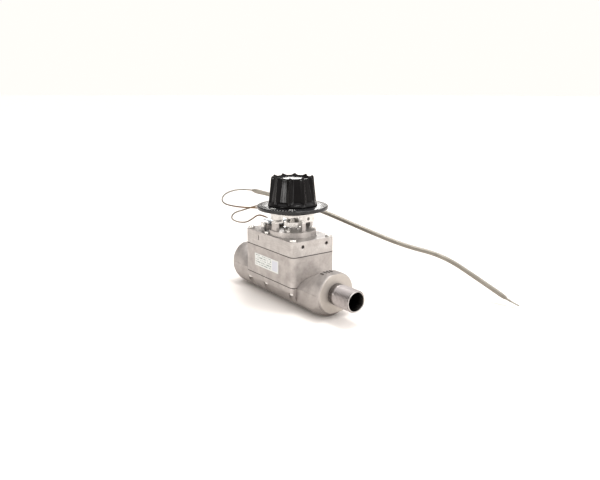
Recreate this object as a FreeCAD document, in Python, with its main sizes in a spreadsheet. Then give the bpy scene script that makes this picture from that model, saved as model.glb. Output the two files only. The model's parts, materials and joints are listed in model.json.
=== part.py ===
"""Gas thermostat valve: a FreeCAD 1.1 macro, millimetres, +Z up.

The origin is on the face that the valve rests on, under the axis of the dial's stem.
+X runs along the pipe towards the outlet nipple and the name label faces -Y.
Every driving size is a cell of the sheet "dim" and the sub-parts are bound to it.
"""
import FreeCAD, Part
import math
import os
import Sketcher

V = FreeCAD.Vector
doc = FreeCAD.newDocument("GasValve")

SIZES = [
    ("axis_height", 23.6, "pipe axis above the rest face"),
    ("body_left", 48.9, "stem axis to the inlet face of the body"),
    ("body_right", 35.6, "stem axis to the outlet face of the body"),
    ("body_half", 25.2, "half width of the body"),
    ("corner", 5.0, "radius of the body's upright corners"),
    ("gasket", 0.8, "gasket thickness"),
    ("flange", 5.1, "thickness of the base flange"),
    ("body_height", 28.9, "height of the body casting"),
    ("cap_height", 14.4, "height of the cap casting"),
    ("barrel_radius", 24.4, "half-round underside of the base"),
    ("hub_radius", 20.2, "round end of each pipe hub"),
    ("hub_round", 1.6, "rounding of a hub's end face"),
    ("hub_land", 42.4, "flat land on top of each hub"),
    ("hub_foot", 5.6, "relieved underside at a hub's end"),
    ("foot_length", 7.0, "length of the relief"),
    ("hub_flat", 20.4, "half distance between a hub's side flats"),
    ("hub_left", 85.5, "stem axis to the inlet hub's face"),
    ("hub_right", 70.0, "stem axis to the outlet hub's face"),
    ("hub_collar", 12.0, "length of a hub's round end"),
    ("hub_rise", 9.0, "top of a hub above the pipe axis where it meets the body"),
    ("root_clear", 0.3, "gap between a hub's root and the body's face"),
    ("port_radius", 9.3, "tapped inlet, half inch pipe thread"),
    ("port_depth", 23.0, "depth of the tapped inlet"),
    ("pipe_radius", 10.65, "half inch pipe, outside"),
    ("pipe_bore", 8.5, "half inch pipe, inside"),
    ("nipple_end", 97.9, "stem axis to the nipple's free end"),
    ("nipple_root", 50.0, "stem axis to the nipple's screwed-in end"),
    ("gallery", 7.9, "radius of the gas ways in the base"),
    ("inlet_port", 34.0, "stem axis to the inlet's way up into the body"),
    ("inlet_way", 6.5, "radius of the inlet's way up"),
    ("seat_offset", 12.0, "stem axis to the valve seat's axis"),
    ("wall_half", 14.5, "half width of the hollow in body and cap"),
    ("hollow_left", 42.0, "stem axis to the hollow's inlet end"),
    ("hollow_right", 26.0, "stem axis to the hollow's outlet end"),
    ("floor", 6.0, "floor thickness of the body"),
    ("roof", 4.1, "roof thickness of the cap"),
    ("screw_left", 43.5, "stem axis to the inlet-side screws"),
    ("screw_mid", 13.5, "stem axis to the middle screws"),
    ("screw_right", 30.5, "stem axis to the outlet-side screws"),
    ("screw_row", 21.0, "half distance between the screw rows"),
    ("screw_radius", 2.0, "shank radius of the body screws"),
    ("screw_head", 3.6, "head radius of the body screws"),
    ("head_height", 4.2, "head height of the body screws"),
    ("screw_grip", 10.0, "length of screw held in the body"),
    ("bonnet_radius", 23.5, "round flange of the bonnet"),
    ("bonnet_flange", 4.9, "thickness of the bonnet's flange"),
    ("post_height", 7.6, "bonnet posts above its flange"),
    ("post_reach", 20.5, "stem axis to the front and back posts"),
    ("post_side", 17.5, "stem axis to the side posts"),
    ("bushing_radius", 7.0, "stem bushing in the bonnet"),
    ("stem_radius", 3.175, "quarter inch stem"),
    ("stem_clear", 0.06, "running clearance round the stem"),
    ("plunger_radius", 4.5, "adjusting plunger"),
    ("thread_radius", 2.5, "threaded foot of the stem"),
    ("lever_level", 56.5, "underside of the lever"),
    ("lever_thick", 2.5, "thickness of the lever"),
    ("pivot_radius", 0.85, "pin that the lever turns on"),
    ("element_offset", 24.0, "stem axis to the power element's axis"),
    ("element_radius", 11.5, "diaphragm capsule"),
    ("bracket_half", 15.5, "half width of the dial bracket"),
    ("sheet_metal", 1.5, "thickness of the bracket's steel"),
    ("bracket_top", 88.4, "top of the dial bracket"),
    ("ring_radius", 21.5, "stop ring under the dial"),
    ("dial_level", 93.0, "underside of the dial's rim"),
    ("dial_radius", 35.0, "dial skirt"),
    ("dial_thick", 3.9, "depth of the dial's rim"),
    ("knob_foot", 23.9, "knob grip radius at its foot"),
    ("knob_crown", 21.2, "knob grip radius at its crown"),
    ("knob_top", 125.4, "top of the knob"),
    ("flute_radius", 5.5, "radius of a knob flute"),
    ("flute_depth", 2.1, "depth of a knob flute"),
    ("capillary", 0.8, "radius of the capillary tube"),
    ("bulb", 2.4, "radius of the sensing bulb"),
    ("coil_ring", 24.0, "mean radius of the capillary's coil"),
    ("coil_bundle", 3.2, "radius of the coil's bundle"),
]
FLUTES = 10
FLUTE_TURN = 11.9
SCREW_PLACES = [(sx, sy) for sy in ("-dim.screw_row", "dim.screw_row")
                for sx in ("-dim.screw_left", "-dim.screw_mid", "dim.screw_right")]

# Levels, from the rest face up
AXIS_Z = "dim.axis_height"
BASE_TOP = "(dim.axis_height - dim.gasket / 2)"
FLANGE_LOW = "(%s - dim.flange)" % BASE_TOP
BODY_LOW = "(dim.axis_height + dim.gasket / 2)"
BODY_TOP = "(%s + dim.body_height)" % BODY_LOW
CAP_LOW = "(%s + dim.gasket)" % BODY_TOP
CAP_TOP = "(%s + dim.cap_height)" % CAP_LOW
BONNET_TOP = "(%s + dim.bonnet_flange)" % CAP_TOP
POST_TOP = "(%s + dim.post_height)" % BONNET_TOP
LEVER_TOP = "(dim.lever_level + dim.lever_thick)"
DIAL_TOP = "(dim.dial_level + dim.dial_thick)"
SEAT_TOP = "(%s + dim.floor + 4)" % BODY_LOW
CAPSULE_LOW = "(%s + 0.6)" % BONNET_TOP
CAPSULE_TOP = "(%s + 3.5)" % CAPSULE_LOW
RING_TOP = "(dim.bracket_top + dim.sheet_metal)"
STEM_TOP = "(dim.knob_top - 5.8)"
NIPPLE_ROOT = "(dim.pipe_radius - 0.5)"
PIVOT_LEVEL = "(dim.lever_level + dim.lever_thick / 2)"
FLUTE_REACH = "(dim.knob_foot + dim.flute_radius - dim.flute_depth)"

TURN = {"z": FreeCAD.Rotation(),
        "x": FreeCAD.Rotation(V(0, 1, 0), 90),
        "y": FreeCAD.Rotation(V(1, 0, 0), -90)}
NODES = []


def make_sheet():
    """Write the driving sizes into the spreadsheet, one aliased cell each."""
    page = doc.addObject("Spreadsheet::Sheet", "dim")
    for row, (alias, value, note) in enumerate(SIZES, start=1):
        page.set("A%d" % row, alias)
        page.set("B%d" % row, str(value))
        page.set("C%d" % row, note)
        page.setAlias("B%d" % row, alias)
    doc.recompute()
    return page


sheet = make_sheet()


def size(expression):
    """The present value of an expression over the sheet's cells."""
    return float(sheet.evalExpression(str(expression)))


def bind(thing, **sizes):
    """Bind properties of an object to expressions over the sheet."""
    for prop, expression in sizes.items():
        thing.setExpression(prop.replace("__", "."), str(expression))


def put(thing, x, y, z, axis="z"):
    """Turn an object's own Z to the given axis and bind its place."""
    thing.Placement = FreeCAD.Placement(V(0, 0, 0), TURN[axis])
    bind(thing, Placement__Base__x=x, Placement__Base__y=y, Placement__Base__z=z)
    return thing


def along(axis, start, c1, c2):
    """Order a start along an axis and two cross coordinates as x, y, z."""
    return {"x": (start, c1, c2), "y": (c1, start, c2), "z": (c1, c2, start)}[axis]


def node(thing, name):
    """Register an object as a finished sub-part under its node name."""
    thing.Label = name
    NODES.append((name, thing))
    return thing


def box(name, x0, x1, y0, y1, z0, z1):
    """A block between two corners."""
    block = doc.addObject("Part::Box", name)
    bind(block, Length="(%s)-(%s)" % (x1, x0), Width="(%s)-(%s)" % (y1, y0),
         Height="(%s)-(%s)" % (z1, z0))
    return put(block, x0, y0, z0)


def rod(name, axis, radius, start, end, c1, c2):
    """A cylinder along an axis, from start to end."""
    cylinder = doc.addObject("Part::Cylinder", name)
    bind(cylinder, Radius=radius, Height="(%s)-(%s)" % (end, start))
    return put(cylinder, *along(axis, start, c1, c2), axis)


def taper(name, axis, radius_start, radius_end, start, end, c1, c2):
    """A cone frustum along an axis."""
    frustum = doc.addObject("Part::Cone", name)
    bind(frustum, Radius1=radius_start, Radius2=radius_end, Height="(%s)-(%s)" % (end, start))
    return put(frustum, *along(axis, start, c1, c2), axis)


def hexagon(name, radius, low, high, x, y):
    """A hexagonal prism standing on Z, radius over its corners."""
    prism = doc.addObject("Part::Prism", name)
    prism.Polygon = 6
    bind(prism, Circumradius=radius, Height="(%s)-(%s)" % (high, low))
    return put(prism, x, y, low)


def fuse(name, things):
    """Union of several objects."""
    union = doc.addObject("Part::MultiFuse", name)
    union.Shapes = things
    union.Refine = True
    return union


def cut(name, base, tools):
    """Base less the tools."""
    result = doc.addObject("Part::Cut", name)
    result.Base = base
    result.Tool = tools[0] if len(tools) == 1 else fuse(name + "_tools", tools)
    result.Refine = True
    return result


def common(name, first, second):
    """What two objects share."""
    result = doc.addObject("Part::Common", name)
    result.Base = first
    result.Tool = second
    result.Refine = True
    return result


def plane(body, role):
    """One of a body's own origin planes or axes."""
    return next(f for f in body.Origin.OriginFeatures if f.Role == role)


def outline(sketch, points):
    """Close a polygon through points given as pairs of expressions, each bound to the sheet."""
    places = [V(size(a), size(b), 0) for a, b in points]
    count = len(points)
    for i in range(count):
        sketch.addGeometry(Part.LineSegment(places[i], places[(i + 1) % count]), False)
    for i in range(count):
        sketch.addConstraint(Sketcher.Constraint("Coincident", i, 2, (i + 1) % count, 1))
    for i, pair in enumerate(points):
        for kind, own_axis, value, expression in (("DistanceX", -2, places[i].x, pair[0]),
                                                  ("DistanceY", -1, places[i].y, pair[1])):
            if abs(value) < 1e-9:
                sketch.addConstraint(Sketcher.Constraint("PointOnObject", i, 1, own_axis))
            else:
                index = sketch.addConstraint(Sketcher.Constraint(kind, -1, 1, i, 1, value))
                sketch.setExpression("Constraints[%d]" % index, str(expression))


def sketch_on(body, name, role):
    """A sketch attached flat to one of the body's origin planes."""
    sketch = body.newObject("Sketcher::SketchObject", name)
    sketch.AttachmentSupport = [(plane(body, role), "")]
    sketch.MapMode = "FlatFace"
    return sketch


def turned(name, profile, axis="z", c1="0", c2="0", start="0", angle=360):
    """A PartDesign body turned from a profile of (radius, place along the axis)."""
    body = doc.addObject("PartDesign::Body", name)
    sketch = sketch_on(body, name + "_profile", "XZ_Plane")
    outline(sketch, profile)
    solid = body.newObject("PartDesign::Revolution", name + "_turned")
    solid.Profile = sketch
    solid.ReferenceAxis = (sketch, ["V_Axis"])
    solid.Midplane = angle < 360
    solid.Angle = angle
    put(body, *along(axis, start, c1, c2), axis)
    return body


def rounded_block(name, x0, x1, y0, y1, low, high, radius):
    """A PartDesign body: a padded rectangle with filleted upright corners."""
    body = doc.addObject("PartDesign::Body", name)
    sketch = sketch_on(body, name + "_plan", "XY_Plane")
    outline(sketch, [(x0, y0), (x1, y0), (x1, y1), (x0, y1)])
    pad = body.newObject("PartDesign::Pad", name + "_pad")
    pad.Profile = sketch
    bind(pad, Length="(%s)-(%s)" % (high, low))
    doc.recompute()
    upright = ["Edge%d" % (i + 1) for i, edge in enumerate(pad.Shape.Edges)
               if edge.BoundBox.ZLength > 0.9 * pad.Shape.BoundBox.ZLength]
    rounds = body.newObject("PartDesign::Fillet", name + "_rounds")
    rounds.Base = (pad, upright)
    bind(rounds, Radius=radius)
    return put(body, "0", "0", low)


def screw_group(name, places, shank, head, shank_low, shank_high, head_low, head_high):
    """Hexagon-headed screws, one separate solid at each place."""
    solids = []
    for i, (x, y) in enumerate(places):
        stem = rod("%s_shank%d" % (name, i), "z", shank, shank_low, shank_high, x, y)
        top = hexagon("%s_head%d" % (name, i), head, head_low, head_high, x, y)
        solids.append(fuse("%s_one%d" % (name, i), [stem, top]))
    return node(fuse(name, solids), name)


def helix(name, coil, wire, low, high, turns, x, y):
    """A round-wire compression spring standing on Z."""
    path = doc.addObject("Part::Helix", name + "_path")
    bind(path, Radius=coil, Pitch="((%s)-(%s)-2*(%s))/(%s)" % (high, low, wire, turns),
         Height="(%s)-(%s)-2*(%s)" % (high, low, wire))
    section = doc.addObject("Part::Circle", name + "_section")
    bind(section, Radius=wire)
    section.Placement = FreeCAD.Placement(V(0, 0, 0), FreeCAD.Rotation(V(1, 0, 0), 90))
    bind(section, Placement__Base__x=coil)
    spring = doc.addObject("Part::Sweep", name)
    spring.Sections = [section]
    spring.Spine = (path, [])
    spring.Solid = True
    spring.Frenet = True
    put(spring, x, y, "(%s)+(%s)" % (low, wire))
    return spring


# ---------------------------------------------------------------- castings

def body_block(name, low, high):
    """The plan that base flange, gaskets, body and cap share."""
    return rounded_block(name, "-dim.body_left", "dim.body_right", "-dim.body_half",
                         "dim.body_half", low, high, "dim.corner")


def screw_holes(name, radius, low, high):
    """Upright holes at the six screw places."""
    return [rod("%s_hole%d" % (name, i), "z", radius, low, high, x, y)
            for i, (x, y) in enumerate(SCREW_PLACES)]


def half_section(name, x, radius, drop):
    """An arch over the pipe axis: an arc whose centre lies a drop below the axis, and its chord."""
    sketch = doc.addObject("Sketcher::SketchObject", name)
    r, depth, half = size(radius), size(drop), size("dim.hub_radius")
    circle = Part.Circle(V(0, -depth, 0), V(0, 0, 1), r)
    first = math.atan2(depth, half)
    sketch.addGeometry(Part.ArcOfCircle(circle, first, math.pi - first), False)
    sketch.addGeometry(Part.LineSegment(V(-half, 0, 0), V(half, 0, 0)), False)
    for constraint in (Sketcher.Constraint("Coincident", 0, 2, 1, 1),
                       Sketcher.Constraint("Coincident", 0, 1, 1, 2),
                       Sketcher.Constraint("PointOnObject", 1, 1, -1),
                       Sketcher.Constraint("PointOnObject", 1, 2, -1)):
        sketch.addConstraint(constraint)
    if depth == 0:
        sketch.addConstraint(Sketcher.Constraint("Coincident", 0, 3, -1, 1))
    else:
        sketch.addConstraint(Sketcher.Constraint("PointOnObject", 0, 3, -2))
        index = sketch.addConstraint(Sketcher.Constraint("Radius", 0, r))
        sketch.setExpression("Constraints[%d]" % index, radius)
    index = sketch.addConstraint(Sketcher.Constraint("DistanceX", -1, 1, 1, 2, half))
    sketch.setExpression("Constraints[%d]" % index, "dim.hub_radius")
    sketch.Placement = FreeCAD.Placement(V(0, 0, 0), FreeCAD.Rotation(V(1, 1, 1), 120))
    bind(sketch, Placement__Base__x=x, Placement__Base__z=AXIS_Z)
    return sketch


def hub_top(name, root, collar_start, end):
    """The upper half of a hub: it slopes from a flat arch at the body to the round collar."""
    arch = "((dim.hub_radius*dim.hub_radius + dim.hub_rise*dim.hub_rise)/(2*dim.hub_rise))"
    slope = doc.addObject("Part::Loft", name + "_slope")
    slope.Sections = [half_section(name + "_root", root, arch, arch + "-dim.hub_rise"),
                      half_section(name + "_rim", collar_start, "dim.hub_radius", "0")]
    slope.Solid = True
    slope.Ruled = True
    low, high = sorted((collar_start, end), key=size)
    bar = rod(name + "_bar", "x", "dim.hub_radius", low, high, "0", AXIS_Z)
    upper = box(name + "_upper", low, high, "-dim.hub_radius-1", "dim.hub_radius+1", AXIS_Z,
                "%s+dim.hub_radius+1" % AXIS_Z)
    return [slope, common(name + "_collar", bar, upper)]


def barrel():
    """The lower half of the barrel, with rounded shoulders down to the hub ends."""
    big, small = "dim.barrel_radius", "dim.hub_flat"
    shoulder = [("", 2.0), ("-0.8", 6.0), ("-2.2", 9.5), ("-3.2", 11.5)]
    inlet = [(big + drop, "%s-dim.hub_left" % (13.5 - reach)) for drop, reach in shoulder]
    outlet = [(big + drop, "dim.hub_right-%s" % (13.5 - reach)) for drop, reach in shoulder]
    profile = ([("0", "-dim.hub_left"), (small, "-dim.hub_left")] + inlet[::-1]
               + outlet + [(small, "dim.hub_right"), ("0", "dim.hub_right")])
    return turned("barrel", profile, "x", "0", AXIS_Z, angle=180)


def hub_rounding(name, face, inwards):
    """Ring-shaped cutter that rounds the edge of a hub's end face."""
    radius = "dim.hub_radius"
    arc = [(1, 0), (0.617, 0.076), (0.293, 0.293), (0.076, 0.617), (0, 1)]
    profile = ([(radius + "-dim.hub_round", "%s-(%s)" % (face, inwards))]
               + [("%s-%s*dim.hub_round" % (radius, drop),
                   "%s+(%s)*dim.hub_round" % (face, inwards * depth)) for drop, depth in arc]
               + [(radius + "+3", "%s+(%s)*dim.hub_round" % (face, inwards)),
                  (radius + "+3", "%s-(%s)" % (face, inwards))])
    return turned(name, profile, "x", "0", AXIS_Z)


def hub_flats():
    """Cutters for the flat land on top of each hub and the relief under its end."""
    across = ("-dim.hub_flat-1", "dim.hub_flat+1")
    return [box("land_out", "dim.body_right+0.5", "dim.hub_right+1", *across, "dim.hub_land",
                "dim.hub_land+4"),
            box("land_in", "-dim.hub_left-1", "-dim.body_left-0.5", *across, "dim.hub_land",
                "dim.hub_land+4"),
            box("foot_out", "dim.hub_right-dim.foot_length", "dim.hub_right+1", *across, "-1",
                "dim.hub_foot"),
            box("foot_in", "-dim.hub_left-1", "dim.foot_length-dim.hub_left", *across, "-1",
                "dim.hub_foot")]


def base_casting():
    """Flange, half-round underside, two pipe hubs and the gas ways."""
    middle = box("base_middle", "-dim.body_left", "dim.body_right", "-dim.body_half",
                 "dim.body_half", "0", BASE_TOP)
    root_out, root_in = "dim.body_right+dim.root_clear", "-dim.body_left-dim.root_clear"
    ends = [box("base_end_out", root_out, "dim.hub_right+1", "-dim.hub_flat", "dim.hub_flat",
                "0", AXIS_Z),
            box("base_end_in", "-dim.hub_left-1", root_in, "-dim.hub_flat", "dim.hub_flat",
                "0", AXIS_Z)]
    bridge = box("base_bridge", root_in + "-1", root_out + "+1", "-dim.hub_flat", "dim.hub_flat",
                 "0", BASE_TOP)
    under = common("base_under", barrel(), fuse("base_reach", [middle, bridge] + ends))
    solid = fuse("base_solid", [body_block("base_flange", FLANGE_LOW, BASE_TOP), under]
                 + hub_top("hub_out", root_out, "dim.hub_right-dim.hub_collar", "dim.hub_right")
                 + hub_top("hub_in", root_in, "dim.hub_collar-dim.hub_left", "-dim.hub_left"))
    ways = [
        rod("inlet_tap", "x", "dim.port_radius", "-dim.hub_left-1", "dim.port_depth-dim.hub_left",
            "0", AXIS_Z),
        rod("inlet_seat", "x", "dim.port_radius-0.6", "-dim.hub_left",
            "dim.port_depth-dim.hub_left+1", "0", AXIS_Z),
        rod("inlet_gallery", "x", "dim.gallery", "-dim.hub_left", "dim.inlet_way-dim.inlet_port",
            "0", AXIS_Z + "-2"),
        rod("inlet_up", "z", "dim.inlet_way", AXIS_Z + "-2", BODY_LOW, "-dim.inlet_port", "0"),
        rod("outlet_up", "z", "7.5", AXIS_Z + "-2", BODY_LOW, "-dim.seat_offset", "0"),
        rod("outlet_gallery", "x", "dim.gallery", "-dim.seat_offset-7.5", "dim.nipple_root",
            "0", AXIS_Z + "-2"),
        rod("outlet_tap", "x", NIPPLE_ROOT + "+0.02", "dim.nipple_root", "dim.hub_right+1",
            "0", AXIS_Z)]
    spots = [rod("spot%d" % i, "z", "dim.screw_head+1.2", "-1", FLANGE_LOW, x, y)
             for i, (x, y) in enumerate(SCREW_PLACES)]
    holes = screw_holes("base", "dim.screw_radius+0.2", FLANGE_LOW + "-1", BASE_TOP + "+1")
    rounds = [hub_rounding("hub_round_out", "dim.hub_right", -1),
              hub_rounding("hub_round_in", "-dim.hub_left", 1)]
    return node(cut("base_casting", solid, ways + spots + holes + rounds + hub_flats()), "base_casting")


def gaskets():
    """Flat gaskets under the body and under the cap."""
    low, high = BASE_TOP, BODY_LOW
    ports = [rod("gasket_in", "z", "dim.inlet_way", low + "-1", high + "+1", "-dim.inlet_port", "0"),
             rod("gasket_out", "z", "7.5", low + "-1", high + "+1", "-dim.seat_offset", "0")]
    node(cut("base_gasket", body_block("base_gasket_sheet", low, high),
             ports + screw_holes("base_gasket", "dim.screw_radius+0.2", low + "-1", high + "+1")),
         "base_gasket")
    low, high = BODY_TOP, CAP_LOW
    window = box("gasket_window", "-dim.hollow_left", "dim.hollow_right", "-dim.wall_half",
                 "dim.wall_half", low + "-1", high + "+1")
    node(cut("cap_gasket", body_block("cap_gasket_sheet", low, high),
             [window] + screw_holes("cap_gasket", "dim.screw_radius+0.2", low + "-1", high + "+1")),
         "cap_gasket")


def body_casting():
    """Open-topped gas chamber between base and cap."""
    floor_top = "%s+dim.floor" % BODY_LOW
    hollow = box("body_hollow", "-dim.hollow_left", "dim.hollow_right", "-dim.wall_half",
                 "dim.wall_half", floor_top, BODY_TOP + "+1")
    ports = [rod("body_in", "z", "dim.inlet_way", BODY_LOW + "-1", floor_top + "+1",
                 "-dim.inlet_port", "0"),
             rod("body_seat", "z", "8.02", BODY_LOW + "-1", floor_top + "+1",
                 "-dim.seat_offset", "0")]
    lower = screw_holes("body_low", "dim.screw_radius+0.02", BODY_LOW + "-1",
                        BODY_LOW + "+dim.screw_grip+2")
    upper = screw_holes("body_high", "dim.screw_radius+0.02", BODY_TOP + "-dim.screw_grip-2",
                        BODY_TOP + "+1")
    block = body_block("body_block", BODY_LOW, BODY_TOP)
    node(cut("body_casting", block, [hollow] + ports + lower + upper), "body_casting")


def cap_casting():
    """Cover of the gas chamber, with the stem, element and bypass holes and two test taps."""
    block = body_block("cap_block", CAP_LOW, CAP_TOP)
    hollow = box("cap_hollow", "-dim.hollow_left", "dim.hollow_right", "-dim.wall_half",
                 "dim.wall_half", CAP_LOW + "-1", CAP_TOP + "-dim.roof")
    tap_level = "%s-5.2" % CAP_TOP
    tools = [hollow,
             rod("cap_stem", "z", "dim.bushing_radius+0.02", CAP_LOW, CAP_TOP + "+1", "0", "0"),
             rod("cap_element", "z", "6.02", CAP_LOW, CAP_TOP + "+1", "-dim.element_offset", "0"),
             rod("cap_bypass", "z", "1.65", CAP_LOW + "+2", CAP_TOP + "+1", "-27", "-16.6"),
             rod("test_tap_a", "x", "1.7", "dim.body_right-7", "dim.body_right+1", "-13.3",
                 tap_level),
             rod("test_tap_b", "x", "1.7", "dim.body_right-7", "dim.body_right+1", "14.9",
                 tap_level),
             box("cap_slot", "-24.3", "-23.1", "-dim.body_half-1", "-dim.body_half+2.5",
                 CAP_TOP + "-8.4", CAP_TOP + "-3.6")]
    bonnet_holes = [rod("cap_bonnet%d" % i, "z", "1.52", CAP_TOP + "-4", CAP_TOP + "+1", x, y)
                    for i, (x, y) in enumerate(BONNET_SCREWS)]
    holes = screw_holes("cap", "dim.screw_radius+0.2", CAP_LOW + "-1", CAP_TOP + "+1")
    node(cut("cap_casting", block, tools + holes + bonnet_holes), "cap_casting")


def body_fasteners():
    """Screws up through the base flange and down through the cap."""
    screw_group("base_screws", SCREW_PLACES, "dim.screw_radius", "dim.screw_head",
                FLANGE_LOW + "-1", BODY_LOW + "+dim.screw_grip", FLANGE_LOW + "-dim.head_height",
                FLANGE_LOW)
    screw_group("cap_screws", SCREW_PLACES, "dim.screw_radius", "dim.screw_head",
                BODY_TOP + "-dim.screw_grip", CAP_TOP + "+1", CAP_TOP,
                CAP_TOP + "+dim.head_height")


def name_label():
    """Blank rating label stuck to the body's front."""
    node(box("name_label", "-30.5", "12", "-dim.body_half-0.35", "-dim.body_half",
             BODY_LOW + "+8.6", BODY_LOW + "+21.4"), "name_label")


# ---------------------------------------------------------------- pipe pieces

def outlet_nipple():
    """Half inch pipe nipple screwed into the outlet hub, with a tapered free end."""
    profile = [("dim.pipe_bore", "dim.nipple_root"), (NIPPLE_ROOT, "dim.nipple_root"),
               (NIPPLE_ROOT, "dim.hub_right+0.3"), ("dim.pipe_radius", "dim.hub_right+0.3"),
               ("dim.pipe_radius", "dim.nipple_end-16"), ("dim.pipe_radius-0.3", "dim.nipple_end"),
               ("dim.pipe_bore", "dim.nipple_end")]
    node(turned("outlet_nipple", profile, "x", "0", AXIS_Z), "outlet_nipple")


def inlet_screen():
    """Perforated strainer disc at the foot of the tapped inlet."""
    face = "dim.port_depth-dim.hub_left"
    disc = rod("screen_disc", "x", "dim.port_radius-0.7", face, face + "+1", "0", AXIS_Z)
    holes = [rod("screen_eye", "x", "1.3", face + "-1", face + "+2", "0", AXIS_Z)]
    for i in range(6):
        angle = math.radians(60 * i)
        holes.append(rod("screen_eye%d" % i, "x", "1.3", face + "-1", face + "+2",
                         "%.3f" % (5 * math.cos(angle)),
                         "%s+%.3f" % (AXIS_Z, 5 * math.sin(angle))))
    node(cut("inlet_screen", disc, holes), "inlet_screen")


# ---------------------------------------------------------------- valve

def valve_seat():
    """Pressed-in seat ring that stands above the body's floor."""
    profile = [("6", BODY_LOW), ("8", BODY_LOW), ("8", SEAT_TOP + "-2"), ("7", SEAT_TOP),
               ("6", SEAT_TOP)]
    node(turned("valve_seat", profile, c1="-dim.seat_offset"), "valve_seat")


def valve_group():
    """Disc with its soft facing, its stem, the spring retainer and the guide plate."""
    face = SEAT_TOP + "+0.2"
    disc = SEAT_TOP + "+1.6"
    x = "-dim.seat_offset"
    node(turned("disc_facing", [("2.02", face), ("8.2", face), ("8.2", disc), ("2.02", disc)],
                c1=x), "disc_facing")
    node(turned("valve_disc", [("2.02", disc), ("8.6", disc), ("8.6", disc + "+1.6"),
                               ("4", disc + "+2.4"), ("4", disc + "+5"), ("2.02", disc + "+5")],
                c1=x), "valve_disc")
    node(rod("valve_stem", "z", "2", face, "dim.lever_level-0.3", x, "0"), "valve_stem")
    node(turned("spring_retainer", [("2.02", "53.6"), ("4.2", "53.6"), ("4.2", "54.6"),
                                    ("2.02", "54.6")], c1=x), "spring_retainer")
    guide = box("guide_plate", "-20", "-4", "-dim.wall_half+0.02", "dim.wall_half-0.02", "47", "49")
    bore = rod("guide_bore", "z", "2.06", "46", "50", x, "0")
    node(cut("stem_guide", guide, [bore]), "stem_guide")
    node(helix("valve_spring", "3.2", "0.4", "49", "53.6", "3.5", x, "0"), "valve_spring")


def lever():
    """Pressed steel lever: hung from the element's button, pushed by the plunger."""
    blade = box("lever_blade", "-28", "4", "-4.5", "4.5", "dim.lever_level", LEVER_TOP)
    ribs = [box("lever_rib_%s" % side, "-19", "-6", y0, y1, LEVER_TOP, LEVER_TOP + "+1.6")
            for side, y0, y1 in (("front", "-4.5", "-3.3"), ("back", "3.3", "4.5"))]
    eye = rod("lever_eye", "y", "dim.pivot_radius+0.07", "-6", "6", "-dim.element_offset",
              PIVOT_LEVEL)
    node(cut("lever", fuse("lever_solid", [blade] + ribs), [eye]), "lever")


# ---------------------------------------------------------------- stem and bonnet

BONNET_SCREWS = [("13", "-14.5"), ("13", "14.5")]
FRONT_POSTS = [("-4", "4", "-dim.post_reach-1.7", "-dim.post_reach+1.7"),
               ("-4", "4", "dim.post_reach-1.7", "dim.post_reach+1.7")]
SIDE_POST = ("dim.post_side-1.7", "dim.post_side+1.7", "-2.1", "2.1")


def bonnet():
    """Round flange with a pad for the power element and posts for the dial bracket."""
    ring = rod("bonnet_ring", "z", "dim.bonnet_radius", CAP_TOP, BONNET_TOP, "0", "0")
    keep = box("bonnet_keep", "-9", "24", "-24", "24", CAP_TOP, BONNET_TOP)
    pad = box("bonnet_pad", "-37", "-8", "-12", "12", CAP_TOP, BONNET_TOP)
    posts = [box("bonnet_post%d" % i, *sides, BONNET_TOP, POST_TOP)
             for i, sides in enumerate(POSTS)]
    solid = fuse("bonnet_solid", [common("bonnet_round", ring, keep), pad] + posts)
    bores = [rod("bonnet_bore", "z", "dim.bushing_radius+0.02", CAP_TOP + "-1", BONNET_TOP + "+1",
                 "0", "0"),
             rod("bonnet_element", "z", "6.02", CAP_TOP + "-1", BONNET_TOP + "+1",
                 "-dim.element_offset", "0")]
    bores += [rod("bonnet_fix%d" % i, "z", "1.7", CAP_TOP + "-1", BONNET_TOP + "+1", x, y)
              for i, (x, y) in enumerate(BONNET_SCREWS)]
    bores += [rod("post_tap%d" % i, "z", "1.02", POST_TOP + "-5", POST_TOP + "+1", x, y)
              for i, (x, y) in enumerate(BRACKET_SCREWS)]
    node(cut("bonnet", solid, bores), "bonnet")
    screw_group("bonnet_screws", BONNET_SCREWS, "1.5", "3", CAP_TOP + "-4", BONNET_TOP + "+1",
                BONNET_TOP, BONNET_TOP + "+2.4")


BRACKET_SCREWS = [("0", "-dim.post_reach"), ("0", "dim.post_reach"), ("dim.post_side", "0")]
POSTS = FRONT_POSTS + [SIDE_POST]


def dial_bracket():
    """Bent steel plate: a square top on three legs whose feet stand on the bonnet's posts."""
    half, low = "dim.bracket_half", POST_TOP
    foot = POST_TOP + "+dim.sheet_metal"
    top = box("bracket_plate", "-" + half, half, "-" + half, half,
              "dim.bracket_top-dim.sheet_metal", "dim.bracket_top")
    inner = half + "-dim.sheet_metal"
    legs = [box("leg_front", "-" + half, "4", "-" + half, "-(%s)" % inner, low, "dim.bracket_top"),
            box("leg_back", "-4", half, inner, half, low, "dim.bracket_top"),
            box("leg_side", inner, half, "-2.1", half, low, "dim.bracket_top")]
    feet = [box("foot_front", "-4", "4", "-dim.post_reach-1.7", "-(%s)" % inner, low, foot),
            box("foot_back", "-4", "4", inner, "dim.post_reach+1.7", low, foot),
            box("foot_side", inner, "dim.post_side+1.7", "-2.1", "2.1", low, foot)]
    holes = [rod("bracket_eye", "z", "dim.stem_radius+dim.stem_clear", "80", "90", "0", "0"),
             rod("leg_window", "x", "1.6", "10", "20", "8", "dim.bracket_top-4.4")]
    holes += [rod("foot_eye%d" % i, "z", "1.1", low + "-1", foot + "+1", x, y)
              for i, (x, y) in enumerate(BRACKET_SCREWS)]
    node(cut("dial_bracket", fuse("bracket_solid", [top] + legs + feet), holes), "dial_bracket")
    screw_group("bracket_screws", BRACKET_SCREWS, "1", "1.7", POST_TOP + "-4", foot + "+0.5",
                foot, foot + "+1.3")


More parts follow.
